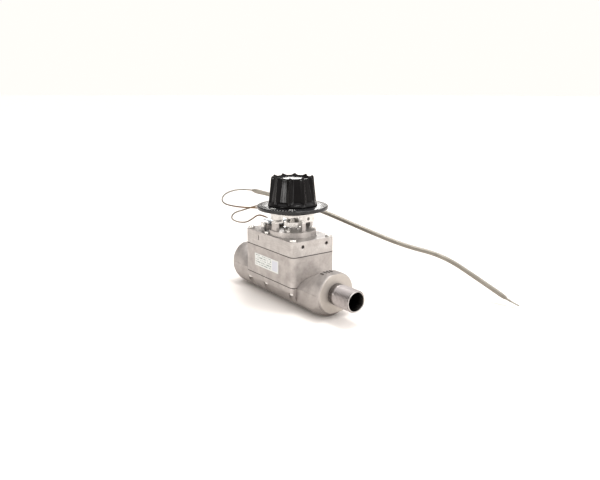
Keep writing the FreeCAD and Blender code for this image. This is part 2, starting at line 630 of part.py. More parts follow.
def stem_parts():
    """Bushing, packing nut and packing round the stem, and the guide pin of the plunger."""
    node(turned("stem_bushing", [
        ("dim.plunger_radius+0.05", "64.2"), ("dim.bushing_radius", "64.2"),
        ("dim.bushing_radius", BONNET_TOP), ("9", BONNET_TOP), ("9", BONNET_TOP + "+1.6"),
        ("6.4", BONNET_TOP + "+1.6"), ("6.4", "78"), ("dim.stem_radius+dim.stem_clear", "78"),
        ("dim.stem_radius+dim.stem_clear", "75.6"), ("dim.plunger_radius+0.05", "75.6")]),
        "stem_bushing")
    nut = fuse("nut_solid", [hexagon("nut_hex", "8.6", "75.4", "80", "0", "0"),
                             taper("nut_cone", "z", "7.2", "5.6", "80", "83.4", "0", "0")])
    bores = [rod("nut_neck", "z", "6.42", "75", "78", "0", "0"),
             rod("nut_room", "z", "5.4", "77.5", "79.8", "0", "0"),
             rod("nut_eye", "z", "dim.stem_radius+dim.stem_clear", "79", "84", "0", "0")]
    node(cut("packing_nut", nut, bores), "packing_nut")
    node(turned("stem_packing", [
        ("dim.stem_radius+0.03", "78.05"), ("5.35", "78.05"), ("5.35", "79.75"),
        ("dim.stem_radius+0.03", "79.75")]), "stem_packing")


def adjusting_plunger():
    """Plunger that the stem's thread lifts; a slot and a fixed pin keep it from turning."""
    body = turned("plunger_turned", [
        ("0", LEVER_TOP + "+0.3"), ("2.5", LEVER_TOP + "+0.3"), ("2.5", "63"),
        ("dim.plunger_radius", "63"), ("dim.plunger_radius", "72.6"),
        ("dim.thread_radius+0.05", "72.6"), ("dim.thread_radius+0.05", "65"), ("0", "65")])
    slot = box("plunger_slot", "3.2", "5", "-0.9", "0.9", "64.5", "73")
    node(cut("adjusting_plunger", body, [slot]), "adjusting_plunger")
    node(rod("plunger_guide_pin", "x", "0.8", "3.6", "4.5", "0", "71.4"), "plunger_guide_pin")


def dial_stem():
    """Stem with threaded foot, thrust collar and a flat for the knob."""
    shaft = turned("stem_turned", [
        ("0", "68.2"), ("dim.thread_radius", "68.2"), ("dim.thread_radius", "75.9"),
        ("dim.stem_radius", "75.9"), ("dim.stem_radius", STEM_TOP), ("0", STEM_TOP)])
    flat = box("stem_flat", "-4", "4", "2.2", "4", "94", "dim.knob_top")
    node(cut("dial_stem", shaft, [flat]), "dial_stem")
    node(turned("stem_clip", [("dim.stem_radius+0.02", "85.4"), ("5.2", "85.4"), ("5.2", "86.5"),
                              ("dim.stem_radius+0.02", "86.5")]), "stem_clip")


# ---------------------------------------------------------------- dial and knob

def stops():
    """Fixed ring with the pin that limits the dial's turn."""
    ring = rod("ring_disc", "z", "dim.ring_radius", "dim.bracket_top", RING_TOP, "0", "0")
    eye = rod("ring_eye", "z", "5.4", "dim.bracket_top-1", RING_TOP + "+1", "0", "0")
    node(cut("stop_ring", ring, [eye]), "stop_ring")
    node(rod("stop_pin", "z", "1.2", RING_TOP, RING_TOP + "+2.4", "-18", "0"), "stop_pin")


def dial_skirt():
    """Round graduated skirt with a turned-down rim, a hub and the stop lug below."""
    rim, low, top = "dim.dial_radius", "dim.dial_level", DIAL_TOP
    disc = turned("skirt_turned", [
        ("6.02", "90.6"), ("12", "90.6"), ("12", top + "-1.9"), (rim + "-1.8", top + "-2.3"),
        (rim + "-1.8", low), (rim + "-0.5", low), (rim, low + "+0.6"), (rim, top + "-0.9"),
        (rim + "-0.7", top + "-0.4"), ("24", top), ("6.02", top)])
    lug = doc.addObject("Part::Cylinder", "lug_sector")
    bind(lug, Radius="20", Height="%s-1.9-90.6" % top)
    lug.Angle = 70
    lug.Placement = FreeCAD.Placement(V(0, 0, 0), FreeCAD.Rotation(V(0, 0, 1), 185))
    bind(lug, Placement__Base__z="90.6")
    ring = cut("lug_ring", lug, [rod("lug_inner", "z", "16", "90", "96", "0", "0")])
    node(fuse("dial_skirt", [disc, ring]), "dial_skirt")


def knob_grip():
    """Hollow fluted grip with a sunk crown; the flutes are one groove in a polar pattern."""
    foot, crown, top = "dim.knob_foot", "dim.knob_crown", "dim.knob_top"
    body = turned("grip_turned", [
        ("6.02", DIAL_TOP), ("9", DIAL_TOP), ("9", top + "-7"), (crown + "-3.2", top + "-7"),
        (foot + "-3.4", DIAL_TOP), (foot + "+0.6", DIAL_TOP), (foot + "+0.6", DIAL_TOP + "+1.2"),
        (foot, DIAL_TOP + "+3"), (crown, top + "-1.6"), (crown + "-1.6", top),
        (crown + "-3.4", top), (crown + "-4.6", top + "-1.6"), ("0", top + "-1.2"),
        ("0", top + "-5.5"), ("6.02", top + "-5.5")])
    doc.recompute()
    plan = sketch_on(body, "flute_plan", "XY_Plane")
    plan.addGeometry(Part.Circle(V(0, 0, 0), V(0, 0, 1), 3), False)
    plan.addConstraint(Sketcher.Constraint("PointOnObject", 0, 3, -1))
    radius = plan.addConstraint(Sketcher.Constraint("Radius", 0, size("dim.flute_radius")))
    plan.setExpression("Constraints[%d]" % radius, "dim.flute_radius")
    reach = size(FLUTE_REACH)
    place = plan.addConstraint(Sketcher.Constraint("DistanceX", -1, 1, 0, 3, reach))
    plan.setExpression("Constraints[%d]" % place, FLUTE_REACH)
    lean = math.atan2(size("dim.knob_foot-dim.knob_crown"), size("dim.knob_top-4.6-" + DIAL_TOP))
    plan.AttachmentOffset = FreeCAD.Placement(
        V(0, 0, 0), FreeCAD.Rotation(V(0, 0, 1), FLUTE_TURN)
        * FreeCAD.Rotation(V(0, 1, 0), -math.degrees(lean)))
    bind(plan, AttachmentOffset__Base__z=DIAL_TOP + "+0.5")
    before = body.Tip.Shape.Volume
    flute = body.newObject("PartDesign::Pocket", "flute")
    flute.Profile = plan
    flute.Type = 1
    flute.Reversed = True
    pattern = body.newObject("PartDesign::PolarPattern", "flutes")
    pattern.Originals = [flute]
    pattern.Axis = (plane(body, "Z_Axis"), [""])
    pattern.Angle = 360
    pattern.Occurrences = FLUTES
    body.Tip = pattern
    doc.recompute()
    if body.Tip.Shape.Volume >= before:
        raise RuntimeError("the knob's flutes cut nothing")
    hole = rod("grip_set_hole", "y", "2.05", "5", "30", "0", DIAL_TOP + "+7")
    node(cut("knob_grip", body, [hole]), "knob_grip")


def knob_inside():
    """Brass insert on the stem and the set screw that holds it."""
    insert = rod("insert_bar", "z", "6", "91", "dim.knob_top-6", "0", "0")
    tools = [rod("insert_bore", "z", "dim.stem_radius+0.01", "90", "dim.knob_top-5", "0", "0"),
             rod("insert_tap", "y", "2.02", "0", "7", "0", DIAL_TOP + "+7")]
    node(cut("knob_insert", insert, tools), "knob_insert")
    node(rod("knob_set_screw", "y", "2", "2.3", "12", "0", DIAL_TOP + "+7"), "knob_set_screw")


# ---------------------------------------------------------------- power element and bypass

def power_element():
    """Diaphragm capsule on its threaded body, with the button that the lever hangs from."""
    x = "-dim.element_offset"
    node(turned("element_body", [
        ("2.45", "62"), ("6", "62"), ("6", CAPSULE_LOW), ("2.45", CAPSULE_LOW)], c1=x),
        "element_body")
    bridge = LEVER_TOP + "+1.2"
    left, right = x + "-1.7", x + "+1.7"
    hanger = fuse("hanger", [
        rod("hanger_stem", "z", "2.4", bridge, CAPSULE_LOW, x, "0"),
        box("hanger_bridge", left, right, "-6.2", "6.2", bridge, bridge + "+1.4"),
        box("hanger_front", left, right, "-6.2", "-4.8", "dim.lever_level-0.4", bridge + "+1"),
        box("hanger_back", left, right, "4.8", "6.2", "dim.lever_level-0.4", bridge + "+1")])
    eye = rod("hanger_eye", "y", "dim.pivot_radius+0.01", "-7", "7", x, PIVOT_LEVEL)
    node(cut("element_button", hanger, [eye]), "element_button")
    node(rod("lever_pin", "y", "dim.pivot_radius", "-6.4", "6.4", x, PIVOT_LEVEL), "lever_pin")
    rim = "dim.element_radius"
    node(turned("power_element", [
        ("0", CAPSULE_LOW), ("8", CAPSULE_LOW), (rim, CAPSULE_LOW + "+1"),
        (rim, CAPSULE_TOP + "-1"), ("8", CAPSULE_TOP), ("0", CAPSULE_TOP)], c1=x),
        "power_element")
    clamp = fuse("clamp_solid", [
        box("clamp_bar", "-35", "-12", "-12.4", "-6.5", CAPSULE_TOP, CAPSULE_TOP + "+1.4"),
        box("clamp_leg", "-17", "-12", "-12.4", "-11", BONNET_TOP, CAPSULE_TOP + "+1.4"),
        box("clamp_cross", "-30", "-18", "-12.4", "6", CAPSULE_TOP, CAPSULE_TOP + "+1.4")])
    node(clamp, "element_clamp")
    node(rod("capillary_ferrule", "x", "1.7", "-39.5", "-dim.element_offset-dim.element_radius",
             "-1", CAPSULE_TOP + "-1.75"), "capillary_ferrule")


def bypass():
    """Minimum-flame screw with a slotted head, held by a small spring."""
    screw = turned("bypass_turned", [
        ("0", "58.5"), ("0.6", "58.5"), ("1.6", "62"), ("1.6", "72.4"), ("3.2", "72.4"),
        ("3.2", "75.6"), ("2.8", "76"), ("0", "76")], c1="-27", c2="-16.6")
    slot = box("bypass_slot", "-31", "-23", "-17.1", "-16.1", "74.8", "77")
    node(cut("bypass_screw", screw, [slot]), "bypass_screw")
    node(helix("bypass_spring", "2.4", "0.4", CAP_TOP, "72.4", "2.5", "-27", "-16.6"),
         "bypass_spring")


# ---------------------------------------------------------------- capillary and bulb

CLEAR_END = 0.45
LEAD_ROUTE = [(-39.5, -1.0, 75.45), (-47.0, -2.0, 77.2), (-57.0, -4.5, 78.0), (-66.5, -6.5, 71.5),
              (-73.6, -9.5, 67.0), (-81.6, -15.2, 66.7), (-89.4, -19.2, 69.6),
              (-90.6, -15.6, 75.0), (-86.5, -10.6, 77.6), (-79.5, -5.0, 80.5),
              (-72.0, 3.0, 84.5), (-60.0, 14.5, 87.0), (-46.5, 27.5, 83.5), (-37.5, 34.5, 73.0),
              (-34.2, 35.0, 60.0), (-34.0, 34.0, 47.0), (-34.0, 33.0, 36.0)]
TAIL_ROUTE = [(-10.0, 33.0, 58.0), (-20.0, 31.5, 59.5), (-27.0, 28.0, 66.0), (-32.0, 20.0, 75.5),
              (-38.0, 10.0, 82.5), (-43.5, -1.5, 86.0), (-49.0, -14.0, 87.5),
              (-58.5, -23.0, 87.5), (-72.5, -28.0, 87.5), (-87.5, -29.0, 88.0),
              (-101.5, -23.5, 90.5), (-112.0, -13.0, 94.0), (-117.0, 1.5, 96.0),
              (-115.0, 13.5, 96.0), (-109.0, 20.2, 95.0)]
BULB_ROUTE = [(-109.0, 20.2, 95.0), (-72.0, 47.4, 87.0), (-38.2, 69.8, 75.5), (4.4, 94.6, 59.0),
              (40.6, 115.9, 46.1), (77.0, 136.5, 40.0), (111.2, 151.0, 21.1),
              (142.0, 158.0, 6.8)]
TIP_ROUTE = [(142.0, 158.0, 6.8), (148.5, 159.0, 4.2), (155.0, 160.0, 3.0)]


def bent_tube(name, route, radius):
    """A tube along straight runs joined by tangent arcs, as large as the runs allow."""
    points = [V(*p) for p in route]
    edges = []
    start = points[0]
    bends = []
    for before, corner, after in zip(points, points[1:], points[2:]):
        back, ahead = before - corner, after - corner
        turn = math.pi - back.getAngle(ahead)
        reach = CLEAR_END * min(back.Length, ahead.Length)
        bend = reach / math.tan(turn / 2)
        bends.append(round(bend, 1))
        first = corner + back.normalize() * reach
        last = corner + ahead.normalize() * reach
        inward = (back + ahead).normalize()
        middle = corner + inward * (math.hypot(bend, reach) - bend)
        edges.append(Part.LineSegment(start, first).toShape())
        edges.append(Part.Arc(first, middle, last).toShape())
        start = last
    edges.append(Part.LineSegment(start, points[-1]).toShape())
    wire = Part.Wire(edges)
    section = Part.Wire([Part.makeCircle(radius, points[0], points[1] - points[0])])
    solid = wire.makePipeShell([section], True, True)
    expected = math.pi * radius * radius * wire.Length
    print("%s: length %.1f mm, smallest bend %.1f mm, volume ratio %.4f"
          % (name, wire.Length, min(bends), solid.Volume / expected))
    tube = doc.addObject("Part::Feature", name)
    tube.Shape = solid
    return node(tube, name)


def capillary_parts():
    """Capillary from the element to its tied coil, on to the bulb, and the bulb's sealed tip."""
    bent_tube("capillary_lead", LEAD_ROUTE, size("dim.capillary"))
    bent_tube("capillary_tail", TAIL_ROUTE, size("dim.capillary"))
    bent_tube("sensing_bulb", BULB_ROUTE, size("dim.bulb"))
    bent_tube("bulb_tip", TIP_ROUTE, size("dim.capillary") + 0.3)
    coil = doc.addObject("Part::Torus", "capillary_coil")
    bind(coil, Radius1="dim.coil_ring", Radius2="dim.coil_bundle")
    put(coil, "-10", "33", "34", "y")
    node(coil, "capillary_coil")
    outer = doc.addObject("Part::Torus", "tie_ring")
    bind(outer, Radius1="dim.coil_bundle+0.7", Radius2="0.6")
    node(put(outer, "-10", "33", "34-dim.coil_ring", "x"), "coil_tie")


def build():
    """Make every sub-part."""
    base_casting()
    gaskets()
    body_casting()
    cap_casting()
    body_fasteners()
    name_label()
    outlet_nipple()
    inlet_screen()
    valve_seat()
    valve_group()
    lever()
    bonnet()
    dial_bracket()
    stem_parts()
    adjusting_plunger()
    dial_stem()
    stops()
    dial_skirt()
    knob_grip()
    knob_inside()
    power_element()
    bypass()
    capillary_parts()
    doc.recompute()


def check_and_write():
    """Stop on any failed object or bad shape, then write one STEP file per node."""
    failed = [o.Label for o in doc.Objects if "Invalid" in o.State or "Error" in o.State]
    if failed:
        raise RuntimeError("failed objects: %s" % ", ".join(failed))
    for name, thing in NODES:
        shape = thing.Shape
        if shape.isNull() or not shape.isValid() or not shape.Solids:
            raise RuntimeError("%s has a bad shape" % name)
    os.makedirs("parts", exist_ok=True)
    for name, thing in NODES:
        thing.Shape.exportStep("parts/%s.step" % name)
    print("%d nodes written" % len(NODES))


build()
check_and_write()
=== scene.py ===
# %% [markdown]
# # A gas thermostat valve
#
# The valve is a cast body between two pipe hubs, with a black fluted dial on top, a pipe nipple at
# one end and a long sensing bulb on a thin capillary tube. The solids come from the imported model,
# which is loaded first and stays where it is. What follows replaces the solids that need more
# detail, and gives every surface a finish of its own.

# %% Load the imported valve
import json
import math

import bmesh
import bpy
import numpy as np
from mathutils import Matrix, Vector


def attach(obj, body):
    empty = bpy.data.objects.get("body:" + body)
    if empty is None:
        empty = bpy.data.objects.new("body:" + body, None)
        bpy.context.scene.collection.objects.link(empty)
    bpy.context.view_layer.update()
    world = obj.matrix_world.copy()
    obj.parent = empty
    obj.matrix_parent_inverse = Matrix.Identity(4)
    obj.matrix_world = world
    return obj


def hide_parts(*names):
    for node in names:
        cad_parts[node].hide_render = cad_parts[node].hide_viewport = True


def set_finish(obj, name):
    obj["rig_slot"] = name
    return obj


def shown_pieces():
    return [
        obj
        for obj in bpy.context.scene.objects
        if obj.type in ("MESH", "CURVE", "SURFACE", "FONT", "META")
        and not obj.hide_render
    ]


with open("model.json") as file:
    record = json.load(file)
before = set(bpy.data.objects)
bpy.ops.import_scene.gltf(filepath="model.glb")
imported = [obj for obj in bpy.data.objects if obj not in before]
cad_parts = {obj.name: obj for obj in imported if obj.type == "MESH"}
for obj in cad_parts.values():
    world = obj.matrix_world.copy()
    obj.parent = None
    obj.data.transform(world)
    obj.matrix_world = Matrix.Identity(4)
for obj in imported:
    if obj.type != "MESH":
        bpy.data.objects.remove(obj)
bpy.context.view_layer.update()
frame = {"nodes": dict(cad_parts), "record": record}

MM = 0.001
PIPE_AXIS = 23.6

# %% [markdown]
# ## The camera
#
# A small object is seen from far enough away that its upright edges stay nearly parallel.
# The camera is placed by three directions, its right, its up and its back, worked out from an
# azimuth and an elevation. That is easier to check than three turning angles.

# %% Place the camera
VIEW_AZIMUTH, VIEW_ELEVATION, VIEW_ROLL = (math.radians(a) for a in (53.941, 13.821, 0.113))
VIEW_SHIFT = (7.472, 36.099, 608.141)
LENS = 36.0


def view_axes(azimuth, elevation, roll):
    """Right, up and back of a camera: azimuth turns it about Z, elevation lifts it, roll tilts it."""
    sin_a, cos_a = math.sin(azimuth), math.cos(azimuth)
    sin_e, cos_e = math.sin(elevation), math.cos(elevation)
    back = Vector((sin_a * cos_e, -cos_a * cos_e, sin_e))
    level = Vector((cos_a, sin_a, 0.0))
    up = back.cross(level)
    right = level * math.cos(roll) + up * math.sin(roll)
    return right, up * math.cos(roll) - level * math.sin(roll), back


axes = view_axes(VIEW_AZIMUTH, VIEW_ELEVATION, VIEW_ROLL)
place = sum((axis * shift for axis, shift in zip(axes, VIEW_SHIFT)), Vector((0, 0, PIPE_AXIS)))
camera = bpy.data.objects.new("camera", bpy.data.cameras.new("camera"))
camera.data.lens = LENS
camera.data.sensor_width = 36.0
camera.data.clip_start = 0.01
camera.matrix_world = Matrix.Translation(place * MM) @ Matrix(axes).transposed().to_4x4()
bpy.context.scene.collection.objects.link(camera)
bpy.context.scene.camera = camera
print("camera at", [round(c, 4) for c in camera.matrix_world.translation])

# %% [markdown]
# ## The capillary tube
#
# A thermostat's capillary is a copper tube about 1.6 mm thick, soft enough to bend by hand and
# stiff enough to keep the bends. A NURBS curve of order 3 runs smoothly past its control points,
# as such a tube does, and its bevel gives the tube its thickness. The length that isn't needed is
# wound into a coil behind the valve, so the coil's turns are more points of the same curve.

# %% The route of the tube
TUBE = 1.6
LEAD_ROUTE = [(-39.5, -1.0, 75.45), (-47.0, -2.0, 77.2), (-57.0, -4.5, 78.0), (-66.5, -6.5, 71.5),
              (-73.6, -9.5, 67.0), (-81.6, -15.2, 66.7), (-89.4, -19.2, 69.6),
              (-90.6, -15.6, 75.0), (-86.5, -10.6, 77.6), (-79.5, -5.0, 80.5),
              (-72.0, 3.0, 84.5), (-60.0, 14.5, 87.0), (-46.5, 27.5, 83.5), (-37.5, 34.5, 73.0),
              (-34.2, 35.0, 60.0), (-34.0, 34.0, 47.0), (-34.0, 33.0, 36.0)]
TAIL_ROUTE = [(-10.0, 33.0, 58.0), (-20.0, 31.5, 59.5), (-27.0, 28.0, 66.0), (-32.0, 20.0, 75.5),
              (-38.0, 10.0, 82.5), (-43.5, -1.5, 86.0), (-49.0, -14.0, 87.5),
              (-58.5, -23.0, 87.5), (-72.5, -28.0, 87.5), (-87.5, -29.0, 88.0),
              (-101.5, -23.5, 90.5), (-112.0, -13.0, 94.0), (-116.3, 1.5, 96.0),
              (-115.0, 13.5, 96.0), (-109.0, 20.2, 95.0)]
COIL_CENTRE = (-10.0, 33.0, 34.0)
COIL_RADIUS, COIL_SPREAD = 24.0, 1.9
COIL_FROM, COIL_TO, COIL_POINTS = 196.0, 1508.0, 59


def coil_turns():
    """Turns about Y: a circle whose radius and depth follow a small slow circle, so that the turns
    lie beside each other. The small circle opens at the start and closes at the end."""
    angle = np.radians(np.linspace(COIL_FROM, COIL_TO, COIL_POINTS))
    share = np.linspace(0.0, 1.0, COIL_POINTS)
    spread = COIL_SPREAD * (1 - np.abs(2 * share - 1) ** 6)
    slow = angle / 4
    radius = COIL_RADIUS / math.cos(math.pi / 16) + spread * np.cos(slow)
    x, y, z = COIL_CENTRE
    return np.stack([x + radius * np.cos(angle), y + spread * np.sin(slow),
                     z + radius * np.sin(angle)], axis=1)


def nurbs(name, route, thickness=0.0):
    """An object with one open NURBS spline of order 3 through a route in millimetres. Its bevel has
    a depth of 1, so the points' radius is the tube's radius in metres."""
    curve = bpy.data.curves.new(name, "CURVE")
    curve.dimensions = "3D"
    points = np.asarray(route, float) * MM
    spline = curve.splines.new("NURBS")
    spline.points.add(len(points) - 1)
    spline.points.foreach_set("co", np.c_[points, np.ones(len(points))].ravel())
    spline.points.foreach_set("radius", np.full(len(points), thickness / 2 * MM))
    spline.order_u = 3
    spline.use_endpoint_u = True
    curve.resolution_u = 10
    curve.bevel_depth = 1.0 if thickness else 0.0
    curve.bevel_resolution = 3
    curve.use_fill_caps = True
    made = bpy.data.objects.new(name, curve)
    bpy.context.scene.collection.objects.link(made)
    return made


capillary = nurbs("capillary", np.vstack([LEAD_ROUTE, coil_turns(), TAIL_ROUTE]), TUBE)
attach(capillary, "valve_body")
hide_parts("capillary_lead", "capillary_coil", "capillary_tail")
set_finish(capillary, "copper")
print("capillary control points:", len(capillary.data.splines[0].points))

# %% [markdown]
# ## Surfaces from two parameters
#
# Most of the new pieces are grids: rows run along a profile and columns run around it. numpy works
# out every point at once. Where a row shrinks to a point, or the grid closes on itself, the points
# that lie together are merged, so there is no seam, and the faces are then turned outwards.

# %% Grid helpers


def angles(count):
    """Even angles round a full turn, without the last, which is the first again."""
    return np.linspace(0.0, 2 * math.pi, count, endpoint=False)


def grid_faces(rows, columns, loop):
    """Four-sided faces of a grid whose columns close on themselves, and its rows too if loop."""
    row = np.arange(rows if loop else rows - 1)[:, None]
    column = np.arange(columns)[None, :]
    after, beside = (row + 1) % rows, (column + 1) % columns
    corners = [row * columns + column, row * columns + beside,
               after * columns + beside, after * columns + column]
    return np.stack(corners, axis=-1).reshape(-1, 4)


def finish_mesh(mesh, sharp):
    """Merge points that lie together, turn faces outwards, and smooth all but sharp edges."""
    work = bmesh.new()
    work.from_mesh(mesh)
    bmesh.ops.remove_doubles(work, verts=work.verts, dist=1e-6)
    bmesh.ops.recalc_face_normals(work, faces=work.faces)
    work.to_mesh(mesh)
    work.free()
    mesh.shade_smooth()
    mesh.set_sharp_from_angle(angle=math.radians(sharp))


def piece(name, grids, body, slot, stands_for=(), loop=False, sharp=38.0):
    """One object from one or more grids of points in millimetres, each (rows, columns, 3)."""
    points, faces, start = [], [], 0
    for grid in grids:
        rows, columns = grid.shape[:2]
        points.append(grid.reshape(-1, 3) * MM)
        faces.append(grid_faces(rows, columns, loop) + start)
        start += rows * columns
    mesh = bpy.data.meshes.new(name)
    mesh.from_pydata(np.vstack(points).tolist(), [], np.vstack(faces).tolist())
    finish_mesh(mesh, sharp)
    made = bpy.data.objects.new(name, mesh)
    bpy.context.scene.collection.objects.link(made)
    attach(made, body)
    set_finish(made, slot)
    if stands_for:
        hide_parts(*stands_for)
    return made


def along_pipe(grid):
    """Turn a grid made about Z so that its height runs along X, on the pipe's axis."""
    return np.stack([grid[..., 2], grid[..., 1], PIPE_AXIS - grid[..., 0]], axis=-1)


# %% [markdown]
# ## The sensing bulb
#
# The bulb is a thin-walled tube full of oil, about 300 mm long. It is bent a little by hand when
# the thermostat is fitted. Its tube follows the points of a NURBS curve, with a swaged neck where
# the capillary enters and a crimped tip at the far end. The rings stand square to the curve.

# %% Tube along a curve
BULB = 4.8
BULB_ROUTE = [(-109.0, 20.2, 95.0), (-72.0, 47.4, 87.0), (-38.2, 69.8, 75.5), (4.4, 94.6, 59.0),
              (40.6, 115.9, 46.1), (77.0, 136.5, 40.0), (111.2, 151.0, 21.1),
              (142.0, 158.0, 6.8)]
TIP_ROUTE = [(142.0, 158.0, 6.8), (148.5, 159.0, 4.2), (155.0, 159.85, 3.0)]


def curve_points(route):
    """The points of a route's NURBS curve, read from Blender, in millimetres."""
    line = nurbs("route", route)
    mesh = bpy.data.meshes.new_from_object(line)
    points = np.empty(len(mesh.vertices) * 3)
    mesh.vertices.foreach_get("co", points)
    bpy.data.objects.remove(line)
    return points.reshape(-1, 3) / MM


def resample(points, count):
    """Points at even distances along a line, and each one's distance from the start."""
    reach = np.r_[0.0, np.cumsum(np.linalg.norm(np.diff(points, axis=0), axis=1))]
    at = np.linspace(0.0, reach[-1], count)
    return np.stack([np.interp(at, reach, points[:, k]) for k in range(3)], axis=1), at


def tube(points, radius, columns, flat=None):
    """Rings square to a line: centre + radius * (side * cos + over * sin), closed at both ends."""
    ahead = np.gradient(points, axis=0)
    ahead /= np.linalg.norm(ahead, axis=1, keepdims=True)
    side = np.cross(ahead, (0.0, 0.0, 1.0))
    side /= np.linalg.norm(side, axis=1, keepdims=True)
    over = np.cross(side, ahead)
    angle = angles(columns)
    tall = radius if flat is None else flat
    rings = (points[:, None, :]
             + side[:, None, :] * (radius[:, None] * np.cos(angle))[..., None]
             + over[:, None, :] * (tall[:, None] * np.sin(angle))[..., None])
    ends = [np.repeat(points[k][None, None, :], columns, axis=1) for k in (0, -1)]
    return np.concatenate([ends[0], rings, ends[1]])


bulb_line, bulb_at = resample(curve_points(BULB_ROUTE), 160)
bulb_long = bulb_at[-1]
swell = np.interp(bulb_at, [0, 3, 5, bulb_long - 6, bulb_long - 2, bulb_long],
                  [0.4, 0.93, 1.0, 1.0, 0.8, 0.45])
piece("bulb_tube", [tube(bulb_line, BULB / 2 * swell, 24)], "valve_body", "bulb_metal",
      ["sensing_bulb"])
neck_line, neck_at = resample(bulb_line[:8], 18)
neck_radius = np.interp(neck_at, [0, 1.0, 4.0, 5.5, 9.0, 11.0, neck_at[-1]],
                        [1.0, 1.25, 1.9, 2.55, 2.62, 2.55, 2.42])
bulb_neck = piece("bulb_neck", [tube(neck_line, neck_radius, 24)], "valve_body", "bulb_metal")
tip_line, tip_at = resample(curve_points(TIP_ROUTE), 30)
tip_wide = np.interp(tip_at, [0, 3, 6, 11.5, tip_at[-1]], [1.1, 1.1, 1.5, 1.5, 1.2])
tip_tall = np.interp(tip_at, [0, 3, 6, 11.5, tip_at[-1]], [1.1, 1.1, 0.45, 0.45, 0.35])
piece("bulb_crimp", [tube(tip_line, tip_wide, 20, tip_tall)], "valve_body", "bulb_metal",
      ["bulb_tip"])
print("bulb length in mm:", round(bulb_long, 1))

# %% [markdown]
# ## The knob
#
# The grip is moulded in black plastic with ten ribs that run up its taper and end a little above
# the rim, and wide hollows between them for the fingers. One formula gives it all: the radius at
# a height is the taper, less the hollow's depth wherever there is no rib. The crown is sunk and
# domed, with a small flat disc in the middle that catches the light from behind.

# %% Fluted grip
KNOB_LOW, KNOB_TOP = 96.95, 125.4
RIBS, RIB_PHASE, RIB_WIDTH = 10, 29.9, 0.30
RIB_RISE, HOLLOW = 1.5, 2.1


def rib_share(angle):
    """1 on the middle of a rib and 0 in a hollow: a power of the cosine of the angle times ten."""
    wave = 0.5 + 0.5 * np.cos(RIBS * (angle - math.radians(RIB_PHASE)))
    return wave ** (1 / RIB_WIDTH)


def knob_grid(columns):
    """Rows up the outside, over the rim and down to the domed crown; each row has a radius, a
    height, a share of the hollow's depth and a share of the rib's rise."""
    rim = KNOB_TOP - RIB_RISE
    rows = [(0.0, KNOB_LOW, 0, 0), (23.9, KNOB_LOW, 0, 0), (24.3, KNOB_LOW + 0.2, 0, 0),
            (24.5, KNOB_LOW + 0.7, 0, 0), (24.4, KNOB_LOW + 1.3, 0, 0),
            (24.15, KNOB_LOW + 1.9, 0.05, 0), (23.95, KNOB_LOW + 2.6, 0.3, 0),
            (23.8, KNOB_LOW + 3.4, 0.7, 0), (23.65, KNOB_LOW + 4.4, 0.95, 0),
            (23.45, KNOB_LOW + 6.0, 1.02, 0), (23.05, KNOB_LOW + 10.0, 1.1, 0),
            (22.45, KNOB_LOW + 15.0, 1.25, 0), (21.95, KNOB_LOW + 19.5, 1.4, 0),
            (21.65, KNOB_LOW + 23.0, 1.5, 0.15), (21.4, rim - 1.8, 1.5, 0.4),
            (21.1, rim - 0.9, 1.4, 0.7), (20.6, rim - 0.3, 1.2, 0.92),
            (19.9, rim, 0.9, 1.0), (19.1, rim - 0.05, 0.5, 0.95), (18.4, rim - 0.5, 0.1, 0.5),
            (17.8, rim - 1.3, 0, 0.1), (17.2, rim - 1.8, 0, 0), (16.0, rim - 1.85, 0, 0),
            (13.0, rim - 1.55, 0, 0), (10.2, rim - 1.15, 0, 0), (9.8, rim - 0.95, 0, 0),
            (9.4, rim - 0.85, 0, 0), (5.0, rim - 0.8, 0, 0), (0.0, rim - 0.78, 0, 0)]
    radius, height, hollow, rise = np.array(rows, float).T
    angle = angles(columns)
    rib = rib_share(angle)
    wide = radius[:, None] - np.outer(hollow * HOLLOW, 1 - rib)
    tall = height[:, None] + np.outer(rise * RIB_RISE, rib)
    return np.stack([wide * np.cos(angle), wide * np.sin(angle), tall], axis=-1)


knob = piece("knob_fluted", [knob_grid(480)], "dial", "phenolic", ["knob_grip"], sharp=60)
print("knob points:", len(knob.data.vertices))

# %% [markdown]
# ## The dial's graduations
#
# The skirt's top slopes down a little to its rim. The scale is pale print, which is modelled as
# thin raised strips and numerals. Each strip is a small grid laid on the slope. The numerals are
# text objects turned into meshes, and only then moved to their places.

# %% Print on the skirt
SKIRT_IN, SKIRT_OUT = (24.0, 96.9), (34.3, 96.5)
SCALE_START, SCALE_TURN = -36.0, -280.0
PRINT_DEPTH = 0.09


def skirt_level(radius):
    """Height of the skirt's top at a radius: a straight line between its two edges."""
    share = (radius - SKIRT_IN[0]) / (SKIRT_OUT[0] - SKIRT_IN[0])
    return SKIRT_IN[1] + share * (SKIRT_OUT[1] - SKIRT_IN[1])


def strip(angle, near, far, wide):
    """A raised bar that points outwards: four rings of a flattened tube, closed at both ends."""
    reach = np.array([near, near, far, far])
    half = np.array([0.01, 1, 1, 0.01]) * wide / 2
    turn = angles(4) + math.pi / 4
    across = np.outer(half, np.cos(turn)) * math.sqrt(2)
    over = np.outer(np.minimum(half, PRINT_DEPTH), np.sin(turn)) * math.sqrt(2)
    out = reach[:, None] * np.ones(4)
    return np.stack([out * math.cos(angle) - across * math.sin(angle),
                     out * math.sin(angle) + across * math.cos(angle),
                     skirt_level(out) + over], axis=-1)


def scale_marks():
    """Long strips at the numbers and short ones between."""
    bars = []
    for step in range(57):
        angle = math.radians(SCALE_START + SCALE_TURN * step / 56)
        numbered = step % 8 == 0
        near = 31.2 if numbered else 32.2
        bars.append(strip(angle, near, 33.8, 0.55 if numbered else 0.32))
    return bars


marks = piece("dial_marks", scale_marks(), "dial", "dial_print", sharp=20)


